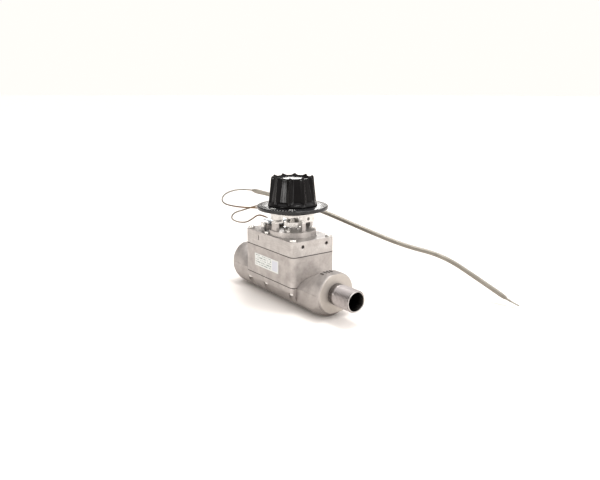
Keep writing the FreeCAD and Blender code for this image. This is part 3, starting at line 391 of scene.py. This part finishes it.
def numeral(text, angle, radius, size):
    """A number that stands on the skirt with its top pointing outwards."""
    letters = bpy.data.curves.new("numeral", "FONT")
    letters.body = text
    letters.size = size * MM
    letters.extrude = PRINT_DEPTH / 2 * MM
    letters.align_x = "CENTER"
    letters.align_y = "CENTER"
    source = bpy.data.objects.new("numeral", letters)
    mesh = bpy.data.meshes.new_from_object(source)
    bpy.data.objects.remove(source)
    spot = Matrix.Translation(Vector((radius * math.cos(angle), radius * math.sin(angle),
                                      skirt_level(radius) + PRINT_DEPTH / 2)) * MM)
    mesh.transform(spot @ Matrix.Rotation(angle - math.pi / 2, 4, "Z"))
    return mesh


def join(name, meshes, body, slot):
    """One object from several meshes."""
    work = bmesh.new()
    for mesh in meshes:
        work.from_mesh(mesh)
        bpy.data.meshes.remove(mesh)
    bmesh.ops.remove_doubles(work, verts=work.verts, dist=1e-7)
    joined = bpy.data.meshes.new(name)
    work.to_mesh(joined)
    work.free()
    made = bpy.data.objects.new(name, joined)
    bpy.context.scene.collection.objects.link(made)
    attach(made, body)
    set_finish(made, slot)
    return made


numbers = [numeral(str(150 + 50 * k), math.radians(SCALE_START + SCALE_TURN * k / 7), 28.4, 4.4)
           for k in range(8)]
numerals = join("dial_numerals", numbers, "dial", "dial_print")
print("numerals:", len(numerals.data.polygons), "faces")

# %% [markdown]
# ## The threaded nipple
#
# A half inch pipe thread has a pitch of 1.8 mm and tapers towards the free end. The surface is a
# turned profile whose radius also depends on the angle: the depth of the groove follows the place
# along the pipe, in pitches, less the share of a turn. That makes a helix and not a row of rings.

# %% Nipple and inlet thread
PITCH = 1.814
PIPE_BORE = 8.5


def groove(place, angle, pitch=PITCH):
    """0 on the crest and 1 at the root of a V thread with a little flat on both."""
    phase = np.mod(place / pitch - angle / (2 * math.pi), 1.0)
    return np.clip(1.25 * (1 - np.abs(2 * phase - 1)) - 0.12, 0.0, 1.0)


def nipple_grid(columns):
    """Outside from the hub to the free end with its helix, then the end face and the bore."""
    start, thread_from, thread_to, end = 50.2, 75.5, 97.2, 97.9
    place = np.r_[start, 70.0, 70.3, np.linspace(70.6, end - 0.02, 220)]
    angle = angles(columns)
    base = np.interp(place, [start, 70.3, 70.4, 81.9, 97.0, end],
                     [10.1, 10.1, 10.3, 10.45, 10.3, 9.5])
    fade = np.interp(place, [thread_from, thread_from + 2, thread_to - 0.8, end], [0, 1, 1, 0.2])
    depth = groove(place[:, None], angle[None, :]) * fade[:, None]
    crest = np.interp(place, [thread_from - 0.5, thread_from + 1.5], [0.0, 0.15])
    outer = base[:, None] + crest[:, None] - 1.0 * depth
    inner_place = np.array([end, end - 0.4, end - 0.7, 80.0, 65.0, start])
    inner = np.array([PIPE_BORE + 0.7, PIPE_BORE + 0.35, PIPE_BORE, PIPE_BORE, PIPE_BORE,
                      PIPE_BORE])
    radius = np.vstack([outer, np.repeat(inner[:, None], columns, axis=1)])
    height = np.r_[place, inner_place][:, None] * np.ones(columns)
    return np.stack([radius * np.cos(angle), radius * np.sin(angle), height], axis=-1)


nipple = piece("nipple_threaded", [along_pipe(nipple_grid(96))], "valve_body", "pipe_steel",
               ["outlet_nipple"], loop=True, sharp=50)


def inlet_thread_grid(columns):
    """A thin threaded sleeve in the inlet hub: ridges stand inwards from the tapped hole."""
    face, depth = -85.35, 21.0
    place = np.linspace(face, face + depth, 180)
    angle = angles(columns)
    fade = np.interp(place, [face, face + 1.5, face + depth - 1, face + depth], [0.1, 1, 1, 0])
    ridge = groove(place[:, None], angle[None, :]) * fade[:, None]
    inside = 9.28 - 0.75 * ridge
    outside = np.full((2, columns), 9.295)
    radius = np.vstack([inside, outside])
    height = np.r_[place, face + depth, face][:, None] * np.ones(columns)
    return np.stack([radius * np.cos(angle), radius * np.sin(angle), height], axis=-1)


piece("inlet_thread", [along_pipe(inlet_thread_grid(96))], "valve_body", "casting", loop=True,
      sharp=50)
print("nipple faces:", len(nipple.data.polygons))

# %% [markdown]
# ## Screws
#
# A hexagon head is a circle whose radius grows towards six corners: the inner radius over the
# cosine of the angle from the middle of a flat. The turned chamfer is a cone that cuts the
# corners, so each point takes the smaller of the two radii. One grid makes a screw, and the same
# grid is moved to every screw's place.

# %% Hexagon screws
SCREW_AT = [(x, y) for y in (-21.0, 21.0) for x in (-43.5, -13.5, 30.5)]


def hex_screw(x, y, seat, head, radius, up, turn):
    """Washer face, hexagon with chamfered corners and a slightly dished top, on a seat level."""
    columns = 60
    angle = angles(columns)
    flat = radius * math.cos(math.pi / 6)
    corner = flat / np.cos(np.mod(angle - turn, math.pi / 3) - math.pi / 6)
    rows = [(0.0, 0.0, 0), (flat * 0.97, 0.0, 0), (flat * 0.98, 0.25, 0), (9, 0.3, 1),
            (9, head - 0.45, 1), (flat * 1.03, head - 0.2, 1), (flat * 0.94, head - 0.02, 1),
            (flat * 0.8, head, 0), (flat * 0.72, head - 0.16, 0), (0.0, head - 0.2, 0)]
    limit, level, shaped = np.array(rows, float).T
    wide = np.where(shaped[:, None] > 0, np.minimum(limit[:, None], corner),
                    limit[:, None] * np.ones(columns))
    return np.stack([x + wide * np.cos(angle), y + wide * np.sin(angle),
                     seat + up * level[:, None] * np.ones(columns)], axis=-1)


def screw_set(name, places, seat, head, radius, up, node):
    """A set of equal screws whose heads stand at slightly different turns, as tightened ones do."""
    grids = [hex_screw(x, y, seat, head, radius, up, 0.7 * k) for k, (x, y) in enumerate(places)]
    return piece(name, grids, "valve_body", "screw_steel", [node], sharp=25)


screw_set("screws_below", SCREW_AT, 18.08, 2.2, 3.55, -1, "base_screws")
screw_set("screws_above", SCREW_AT, 68.12, 2.2, 3.55, 1, "cap_screws")
print("screw sets made")

# %% [markdown]
# ## Castings with broken edges
#
# No edge of a casting or a stamped part is perfectly sharp, and a rounded edge is what draws the
# thin bright lines that show its shape. Each solid whose form is right is copied, its loose
# triangles are merged back into flat faces, and a Bevel modifier rounds every real edge.

# %% Rounded copies
EDGES = {"base_casting": 0.45, "body_casting": 0.35, "cap_casting": 0.45, "bonnet": 0.3,
         "dial_bracket": 0.22, "stop_ring": 0.3, "packing_nut": 0.3, "power_element": 0.35,
         "element_clamp": 0.25, "stem_bushing": 0.25, "dial_skirt": 0.28, "bonnet_screws": 0.25,
         "bracket_screws": 0.2, "bypass_screw": 0.2, "name_label": 0.1}
SLOTS = {row["node"]: row["material_slot"] for row in frame["record"]["subparts"]}
BODIES = {node: body for body, nodes in frame["record"]["behaviour"]["bodies"].items()
          for node in nodes}


def rounded_copy(node, width):
    """A merged copy of a solid with its edges bevelled, which stands for the solid."""
    mesh = frame["nodes"][node].data.copy()
    mesh.materials.clear()
    work = bmesh.new()
    work.from_mesh(mesh)
    bmesh.ops.remove_doubles(work, verts=work.verts, dist=2e-6)
    bmesh.ops.dissolve_limit(work, angle_limit=math.radians(0.6), verts=work.verts,
                             edges=work.edges)
    work.to_mesh(mesh)
    work.free()
    mesh.shade_smooth()
    mesh.set_sharp_from_angle(angle=math.radians(30))
    made = bpy.data.objects.new(node + "_finished", mesh)
    bpy.context.scene.collection.objects.link(made)
    soft = made.modifiers.new("soft_edges", "BEVEL")
    soft.width = width * MM
    soft.segments = 2
    soft.limit_method = "ANGLE"
    soft.angle_limit = math.radians(32)
    soft.harden_normals = True
    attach(made, BODIES[node])
    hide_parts(node)
    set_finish(made, SLOTS[node])
    return made


finished = {node: rounded_copy(node, width) for node, width in EDGES.items()}
print("rounded copies:", len(finished))

# %% [markdown]
# ## Cast marks on the outlet hub
#
# Foundries cast marks onto the top of a hub. Here they are four equal bars, evenly spaced, that
# stand for no letter or number. A Shrinkwrap modifier drops their flat outlines onto the casting,
# and a Solidify modifier then gives them their height, so they follow the curve of the hub.

# %% Raised bars


def stroke(x0, y0, x1, y1, wide=1.1):
    """The four corners of a straight stroke between two points."""
    along = np.array([x1 - x0, y1 - y0])
    side = np.array([-along[1], along[0]]) / np.linalg.norm(along) * wide / 2
    start, end = np.array([x0, y0]), np.array([x1, y1])
    return [tuple(corner) for corner in (start - side, end - side, end + side, start + side)]


def mark_mesh(name, outlines):
    """Flat outlines above the hub, each a list of (x, y) corners, cut into small faces."""
    work = bmesh.new()
    for outline in outlines:
        work.faces.new([work.verts.new((x * MM, y * MM, 0.06)) for x, y in outline])
    bmesh.ops.subdivide_edges(work, edges=work.edges, cuts=3, use_grid_fill=True)
    mesh = bpy.data.meshes.new(name)
    work.to_mesh(mesh)
    work.free()
    return mesh


BAR_FROM, BAR_TO = 57.0, 62.0
strokes = [stroke(BAR_FROM, y, BAR_TO, y) for y in (-9.0, -5.5, -2.0, 1.5)]
cast_marks = bpy.data.objects.new("cast_marks", mark_mesh("cast_marks", strokes))
bpy.context.scene.collection.objects.link(cast_marks)
drop = cast_marks.modifiers.new("drop", "SHRINKWRAP")
drop.target = frame["nodes"]["base_casting"]
drop.wrap_method = "PROJECT"
drop.use_project_z = True
drop.use_negative_direction = True
drop.use_positive_direction = False
wall = cast_marks.modifiers.new("wall", "SOLIDIFY")
wall.thickness = 1.0 * MM
wall.offset = 0.0
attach(cast_marks, "valve_body")
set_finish(cast_marks, "casting")
print("cast marks:", len(strokes))

# %% [markdown]
# ## Shader maths
#
# A finish is a small network of nodes. It is easier to read as arithmetic, so a value wraps a
# socket and its operators add the Math nodes. A finish holds one material and has one method that
# adds any other node. Numbers that are the same all over a surface go straight onto the shader.

# %% Values and finishes


class Value:
    """A socket that can be added, subtracted, multiplied and compared."""

    def __init__(self, finish, socket):
        self.finish = finish
        self.socket = socket

    def math(self, operation, first, second):
        return self.finish.node("ShaderNodeMath", {"operation": operation},
                                {0: first, 1: second})

    def __add__(self, other):
        return self.math("ADD", self, other)

    def __sub__(self, other):
        return self.math("SUBTRACT", self, other)

    def __rsub__(self, other):
        return self.math("SUBTRACT", other, self)

    def __mul__(self, other):
        return self.math("MULTIPLY", self, other)

    def __lt__(self, other):
        return self.math("LESS_THAN", self, other)

    def __gt__(self, other):
        return self.math("GREATER_THAN", self, other)

    __radd__ = __add__
    __rmul__ = __mul__


class Finish:
    """One material: constants go on its shader, and node() adds everything else."""

    def __init__(self, name, **constants):
        self.material = bpy.data.materials.new(name)
        self.material.use_nodes = True
        self.tree = self.material.node_tree
        self.shader = self.tree.nodes["Principled BSDF"]
        for words, value in constants.items():
            self.shader.inputs[words.replace("_", " ").title()].default_value = value

    def node(self, kind, settings=None, inputs=None, output=0):
        """Add a node, make its settings, then feed its sockets with values or links."""
        made = self.tree.nodes.new(kind)
        for key, value in (settings or {}).items():
            setattr(made, key, value)
        for key, value in (inputs or {}).items():
            self.feed(made.inputs[key], value)
        return Value(self, made.outputs[output])

    def feed(self, socket, value):
        """Link a value to a socket, or set the socket to a number."""
        if isinstance(value, Value):
            self.tree.links.new(value.socket, socket)
        else:
            socket.default_value = value

    def where(self, stretch=(1, 1, 1), turn=(0, 0, 0)):
        """Object coordinates, stretched and turned."""
        here = self.node("ShaderNodeTexCoord", output="Object")
        return self.node("ShaderNodeMapping", None,
                         {"Vector": here, "Scale": stretch, "Rotation": turn})

    def axis(self, letter):
        """One object coordinate, in millimetres."""
        here = self.node("ShaderNodeTexCoord", output="Object")
        return self.node("ShaderNodeSeparateXYZ", None, {0: here}, letter) * 1000.0

    def noise(self, size, detail=3.0, stretch=(1, 1, 1), rough=0.55):
        """Cloudy noise whose features are about size millimetres across."""
        return self.node("ShaderNodeTexNoise", None,
                         {"Vector": self.where(stretch), "Scale": 1000.0 / size,
                          "Detail": detail, "Roughness": rough})

    def ramp(self, value, low, high, first=0.0, last=1.0):
        """Map a value from low..high to first..last, held at both ends."""
        return self.node("ShaderNodeMapRange", None,
                         {0: value, 1: low, 2: high, 3: first, 4: last})

    def mix(self, share, first, second):
        """A colour between two colours."""
        return self.node("ShaderNodeMix", {"data_type": "RGBA"}, {0: share, 6: first, 7: second},
                         2)

    def bump(self, height, depth, strength=1.0):
        """Relief of a depth in millimetres for heights from 0 to 1."""
        relief = self.node("ShaderNodeBump", None,
                           {"Strength": strength, "Distance": depth * MM, "Height": height})
        self.feed(self.shader.inputs["Normal"], relief)

    def set(self, socket, value):
        """Feed one of the shader's own sockets."""
        self.feed(self.shader.inputs[socket], value)


def rgb(red, green, blue):
    """An opaque colour from three linear values."""
    return (red, green, blue, 1.0)


FINISHES = {}

# %% [markdown]
# ## Cast aluminium
#
# Sand-cast aluminium that has been tumbled is a warm light grey, cloudy over a few millimetres and
# grainy close up. Two noises of different size drive the colour and the roughness, and a third,
# much finer one, gives the grain. The ends of the hubs are machined, so there the metal is
# brighter and of one even colour.

# %% Castings
HUB_RIGHT, HUB_LEFT = 69.75, -85.25
casting = Finish("cast_aluminium", metallic=0.82)
cloud = casting.noise(9.0, 4.0)
grain = casting.noise(0.55, 2.0)
blotch = casting.noise(2.6, 3.0)
tone = casting.ramp(cloud * 0.6 + blotch * 0.4, 0.36, 0.66)
bare = casting.mix(tone, rgb(0.34, 0.314, 0.30), rgb(0.50, 0.468, 0.447))
# Painted shade: the casting's colour goes darker towards the floor, from 22 mm down to 2 mm above it.
low = casting.ramp(casting.axis("Z"), 2.0, 22.0)
painted_shade_below = casting.mix(low, rgb(0.24, 0.215, 0.20), bare)
along = casting.axis("X")
faced = (along > HUB_RIGHT) + (along < HUB_LEFT)
casting.set("Base Color", casting.mix(faced, painted_shade_below, rgb(0.47, 0.435, 0.40)))
casting.set("Roughness", casting.ramp(blotch, 0.3, 0.7, 0.44, 0.60))
casting.bump(grain * 0.6 + blotch * 0.4, 0.16, 0.55)
FINISHES["casting"] = casting

# The raised cast marks are painted nearly black as painted shade. The casting itself is no darker
# there.
painted_shade_marks = Finish("painted_shade_marks", metallic=0.5)
mark_shade_noise = painted_shade_marks.noise(0.9)
painted_shade_marks.set("Base Color", painted_shade_marks.mix(mark_shade_noise, rgb(0.05, 0.045, 0.04),
                                                  rgb(0.15, 0.14, 0.13)))
painted_shade_marks.set("Roughness", painted_shade_marks.ramp(mark_shade_noise, 0.3, 0.7, 0.5, 0.75))

cap_metal = Finish("brushed_cap", metallic=0.85)
brush = cap_metal.noise(1.1, 4.0, (0.12, 1.0, 1.0))
cloud = cap_metal.noise(8.0, 3.0)
tone = cap_metal.ramp(cloud * 0.5 + brush * 0.5, 0.38, 0.64)
cap_metal.set("Base Color", cap_metal.mix(tone, rgb(0.38, 0.355, 0.34), rgb(0.54, 0.515, 0.495)))
cap_metal.set("Roughness", cap_metal.ramp(brush, 0.3, 0.7, 0.36, 0.52))
cap_metal.bump(brush, 0.07, 0.5)
FINISHES["cap_metal"] = cap_metal
print("castings finished")

# %% [markdown]
# ## Turned, pressed and plated steel
#
# Zinc plating is bright with a faint warm bloom. Stamped brackets show the rolling direction as
# fine streaks. The nipple's thread is bright on its crests, and its roots are painted nearly black
# as painted shade, so its colour depends on the distance from the pipe's axis. The bore is also
# painted nearly black as painted shade.

# %% Steels and brass


def metal(name, dark, light, rough, size, stretch=(1, 1, 1), depth=0.03):
    """A metal with streaks or clouds between two colours, and roughness that follows them."""
    made = Finish(name, metallic=1.0)
    streak = made.noise(size, 3.0, stretch)
    haze = made.noise(size * 7.0, 2.0)
    tone = made.ramp(streak * 0.5 + haze * 0.5, 0.36, 0.64)
    made.set("Base Color", made.mix(tone, rgb(*dark), rgb(*light)))
    made.set("Roughness", made.ramp(streak, 0.3, 0.7, rough[0], rough[1]))
    made.bump(streak, depth, 0.5)
    return made


FINISHES["screw_steel"] = metal("zinc_screw", (0.54, 0.53, 0.51), (0.82, 0.81, 0.79),
                                (0.16, 0.34), 0.5)
FINISHES["bracket_steel"] = metal("stamped_steel", (0.50, 0.485, 0.47), (0.76, 0.745, 0.72),
                                  (0.22, 0.42), 0.6, (1.0, 0.15, 1.0))
FINISHES["stem_steel"] = metal("ground_steel", (0.50, 0.50, 0.50), (0.70, 0.70, 0.69),
                               (0.15, 0.30), 0.4, (1.0, 1.0, 4.0))
FINISHES["spring_steel"] = metal("spring_wire", (0.40, 0.40, 0.40), (0.58, 0.57, 0.56),
                                 (0.22, 0.40), 0.3)
FINISHES["brass"] = metal("machined_brass", (0.50, 0.37, 0.18), (0.70, 0.55, 0.30),
                          (0.22, 0.40), 0.7)
FINISHES["element_metal"] = metal("element_shell", (0.34, 0.38, 0.42), (0.58, 0.63, 0.68),
                                  (0.18, 0.36), 0.9)

pipe_steel = Finish("pipe_steel", metallic=1.0)
across, over = pipe_steel.axis("Y"), pipe_steel.axis("Z") - PIPE_AXIS
from_axis = pipe_steel.node("ShaderNodeMath", {"operation": "SQRT"},
                            {0: across * across + over * over})
# The thread's roots are painted nearly black as painted shade, and the crests a light steel grey.
crest = pipe_steel.ramp(from_axis, 9.5, 10.5)
threaded = pipe_steel.ramp(pipe_steel.axis("X"), 75.0, 77.0)
plain = pipe_steel.mix(pipe_steel.noise(1.2), rgb(0.12, 0.11, 0.11), rgb(0.22, 0.205, 0.20))
thread_with_root_shade = pipe_steel.mix(crest, rgb(0.03, 0.027, 0.027), rgb(0.50, 0.46, 0.45))
outside = pipe_steel.mix(threaded, plain, thread_with_root_shade)
# The bore is painted nearly black as painted shade inside the pipe.
bore = pipe_steel.mix(pipe_steel.noise(1.5), rgb(0.03, 0.028, 0.028), rgb(0.08, 0.075, 0.07))
end_face = pipe_steel.axis("X") > 97.45
walled = pipe_steel.mix(from_axis > 9.0, bore, outside)
pipe_steel.set("Base Color", pipe_steel.mix(end_face, walled, rgb(0.50, 0.475, 0.46)))
pipe_steel.set("Roughness", pipe_steel.ramp(pipe_steel.noise(0.8), 0.3, 0.7, 0.22, 0.40))
pipe_steel.bump(pipe_steel.noise(0.4, 2.0), 0.03, 0.5)
FINISHES["pipe_steel"] = pipe_steel
print("steels finished")

# %% [markdown]
# ## Black plastics, gaskets and the label
#
# The grip is glossy moulded plastic: nearly black, with a faint waviness that breaks up its
# reflections. The skirt is the same plastic with fine turned rings. Gaskets are dark fibre. The
# label is white foil with rows of short grey bars in place of print: a white noise value for each
# small cell decides whether the cell is inked.

# %% Plastics and prints
phenolic = Finish("black_grip", roughness=0.16)
phenolic.set("Specular IOR Level", 0.14)
waves = phenolic.noise(3.5, 2.0)
speck = phenolic.noise(0.35, 1.0)
phenolic.set("Base Color", phenolic.mix(speck, rgb(0.002, 0.0016, 0.0018), rgb(0.004, 0.0035, 0.0038)))
phenolic.bump(waves * 0.8 + speck * 0.2, 0.05, 0.35)
FINISHES["phenolic"] = phenolic

skirt = Finish("black_skirt")
skirt.set("Specular IOR Level", 0.35)
east, north = skirt.axis("X"), skirt.axis("Y")
reach = skirt.node("ShaderNodeMath", {"operation": "SQRT"}, {0: east * east + north * north})
rings = skirt.node("ShaderNodeMath", {"operation": "SINE"}, {0: reach * 14.0})
scuff = skirt.noise(1.3, 3.0)
skirt.set("Base Color", skirt.mix(skirt.ramp(scuff, 0.5, 0.75), rgb(0.008, 0.008, 0.009),
                                  rgb(0.035, 0.034, 0.034)))
skirt.set("Roughness", skirt.ramp(scuff, 0.3, 0.7, 0.12, 0.26))
skirt.bump(rings * 0.5 + scuff, 0.02, 0.4)
FINISHES["dial_print"] = skirt

ink = Finish("pale_print")
ink.set("Base Color", ink.mix(ink.noise(0.6), rgb(0.55, 0.55, 0.53), rgb(0.78, 0.78, 0.76)))
ink.set("Roughness", ink.ramp(ink.noise(0.9), 0.3, 0.7, 0.4, 0.6))

gasket = Finish("fibre_gasket")
fibres = gasket.noise(0.5, 3.0, (1.0, 1.0, 0.3))
gasket.set("Base Color", gasket.mix(fibres, rgb(0.018, 0.016, 0.015), rgb(0.055, 0.05, 0.046)))
gasket.set("Roughness", gasket.ramp(fibres, 0.3, 0.7, 0.7, 0.9))
gasket.bump(fibres, 0.1, 0.6)
FINISHES["gasket"] = gasket

rubber = Finish("nitrile")
pores = rubber.noise(0.4, 2.0)
rubber.set("Base Color", rubber.mix(pores, rgb(0.012, 0.012, 0.012), rgb(0.035, 0.034, 0.033)))
rubber.set("Roughness", rubber.ramp(pores, 0.3, 0.7, 0.55, 0.75))
rubber.bump(pores, 0.05, 0.4)
FINISHES["rubber"] = rubber

label = Finish("printed_foil")
across, up = label.axis("X"), label.axis("Z")
cell = label.node("ShaderNodeCombineXYZ", None,
                  {0: label.node("ShaderNodeMath", {"operation": "FLOOR"}, {0: across * 1.15}),
                   1: label.node("ShaderNodeMath", {"operation": "FLOOR"}, {0: up * 0.42})})
chance = label.node("ShaderNodeTexWhiteNoise", {"noise_dimensions": "2D"}, {"Vector": cell})
in_row = label.node("ShaderNodeMath", {"operation": "FRACT"}, {0: up * 0.42})
band = (in_row > 0.28) * (in_row < 0.74)
margin = (across > -28.8) * (across < -0.5) * (up > 34.2) * (up < 44.2)
inked = band * margin * (chance > 0.42)
patch = (across > 1.2) * (across < 10.6) * (up > 33.9) * (up < 44.1)
paper = label.mix(label.noise(4.0), rgb(0.60, 0.615, 0.60), rgb(0.68, 0.69, 0.675))
tinted = label.mix(patch * 0.7, paper, rgb(0.50, 0.51, 0.60))
label.set("Base Color", label.mix(inked * 0.9, tinted, rgb(0.12, 0.17, 0.15)))
label.set("Roughness", label.ramp(label.noise(1.5), 0.3, 0.7, 0.35, 0.5))
FINISHES["label"] = label
print("plastics and prints finished")

# %% [markdown]
# ## Copper tube and bulb
#
# Copper goes brown where it was heated for brazing and stays paler along its length. The tube is
# dark where it leaves the power element and fades within a few centimetres. The bulb is tinned,
# so it is a dull beige grey with slightly darker patches.

# %% Copper and tin
copper = Finish("tarnished_copper", metallic=0.9)
patches = copper.noise(6.0, 3.0)
fade = copper.ramp(copper.axis("X"), -60.0, -90.0)
brown = copper.mix(patches, rgb(0.09, 0.055, 0.03), rgb(0.22, 0.14, 0.085))
pale = copper.mix(patches, rgb(0.17, 0.15, 0.125), rgb(0.30, 0.275, 0.24))
copper.set("Base Color", copper.mix(fade, brown, pale))
copper.set("Roughness", copper.ramp(patches, 0.3, 0.7, 0.3, 0.48))
copper.bump(copper.noise(0.7), 0.04, 0.4)
FINISHES["copper"] = copper

tinned = Finish("tinned_bulb", metallic=0.85)
patches = tinned.noise(8.0, 4.0)
fine = tinned.noise(0.9, 3.0)
tinned.set("Base Color", tinned.mix(patches * 0.7 + fine * 0.3, rgb(0.16, 0.145, 0.12),
                                    rgb(0.34, 0.315, 0.275)))
tinned.set("Roughness", tinned.ramp(fine, 0.3, 0.7, 0.34, 0.5))
tinned.bump(fine, 0.05, 0.5)
FINISHES["bulb_metal"] = tinned

# %% Give every piece its finish


def dress(thing, finish):
    """One material on every face of a piece."""
    thing.data.materials.clear()
    thing.data.materials.append(finish.material)


for node, solid in frame["nodes"].items():
    solid.material_slots[0].material = FINISHES[SLOTS[node]].material
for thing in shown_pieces():
    if "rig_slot" in thing:
        dress(thing, FINISHES[thing["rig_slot"]])
for printed in (marks, numerals):
    dress(printed, ink)
# The cast marks wear the near-black painted shade in place of the casting's own colour.
dress(cast_marks, painted_shade_marks)
print("finishes:", len(FINISHES) + 2)

# %% [markdown]
# ## Floor and light
#
# The valve stands on white paper that runs to the horizon, with a white wall round it. Above the
# wall the room is dim, so that black plastic stays black. A broad sun from above keeps the paper
# white and the shadows soft. Small lamps above, in front and on the right draw the bright points on
# rounded edges, and a lamp behind the valve is mirrored in the flat tops.

# %% Paper, room and lamps
SHEET, FLOOR_LEVEL = 40.0, -0.0003
paper_sheet = bpy.data.meshes.new("paper")
corners = [(x * SHEET, y * SHEET, FLOOR_LEVEL) for x, y in ((-1, -1), (1, -1), (1, 1), (-1, 1))]
paper_sheet.from_pydata(corners, [], [(0, 1, 2, 3)])
floor = bpy.data.objects.new("paper", paper_sheet)
bpy.context.scene.collection.objects.link(floor)
white = Finish("white_paper", roughness=0.9)
white.set("Base Color", white.mix(white.noise(60.0), rgb(0.90, 0.86, 0.825),
                                  rgb(0.92, 0.88, 0.845)))
dress(floor, white)


def lamp(name, spot, aim, size, power, tint=(1.0, 0.99, 0.97)):
    """A square area lamp at a spot in metres, turned towards its aim."""
    data = bpy.data.lights.new(name, "AREA")
    data.size = size
    data.energy = power
    data.color = tint
    made = bpy.data.objects.new(name, data)
    made.matrix_world = (Matrix.Translation(spot)
                         @ (Vector(aim) - Vector(spot)).to_track_quat("-Z", "Y")
                         .to_matrix().to_4x4())
    bpy.context.scene.collection.objects.link(made)


lamp("key", (0.1, 0.2, 1.3), (0, 0, 0.08), 0.25, 5.0)
lamp("front", (0.08, -0.85, 0.28), (0, 0, 0.08), 0.18, 1.7)
lamp("right", (1.1, 0.35, 0.45), (0, 0, 0.05), 0.5, 4.0)
lamp("behind", (-1.15, 0.84, 0.48), (0, 0, 0.12), 0.26, 1.6)
sun = bpy.data.objects.new("sun", bpy.data.lights.new("sun", "SUN"))
sun.data.energy = 2.7
sun.data.angle = math.radians(110)
sun.rotation_euler = (math.radians(-12), math.radians(14), 0)
bpy.context.scene.collection.objects.link(sun)

WALL_TOP, ROOM_FROM = 0.16, 0.24
WALL_LIGHT, ROOM_LIGHT = 1.05, 0.42
world = bpy.data.worlds.new("studio")
world.use_nodes = True
nodes, links = world.node_tree.nodes, world.node_tree.links
sky = nodes["Background"]
sky.inputs["Color"].default_value = rgb(1.0, 0.945, 0.905)
facing = nodes.new("ShaderNodeTexCoord")
parts = nodes.new("ShaderNodeSeparateXYZ")
height = nodes.new("ShaderNodeMapRange")
for socket, value in zip(("From Min", "From Max", "To Min", "To Max"),
                         (WALL_TOP, ROOM_FROM, WALL_LIGHT, ROOM_LIGHT)):
    height.inputs[socket].default_value = value
links.new(facing.outputs["Object"], parts.inputs[0])
links.new(parts.outputs["Z"], height.inputs["Value"])
links.new(height.outputs["Result"], sky.inputs["Strength"])
bpy.context.scene.world = world
bpy.context.scene.view_settings.view_transform = "Standard"
print("studio ready")
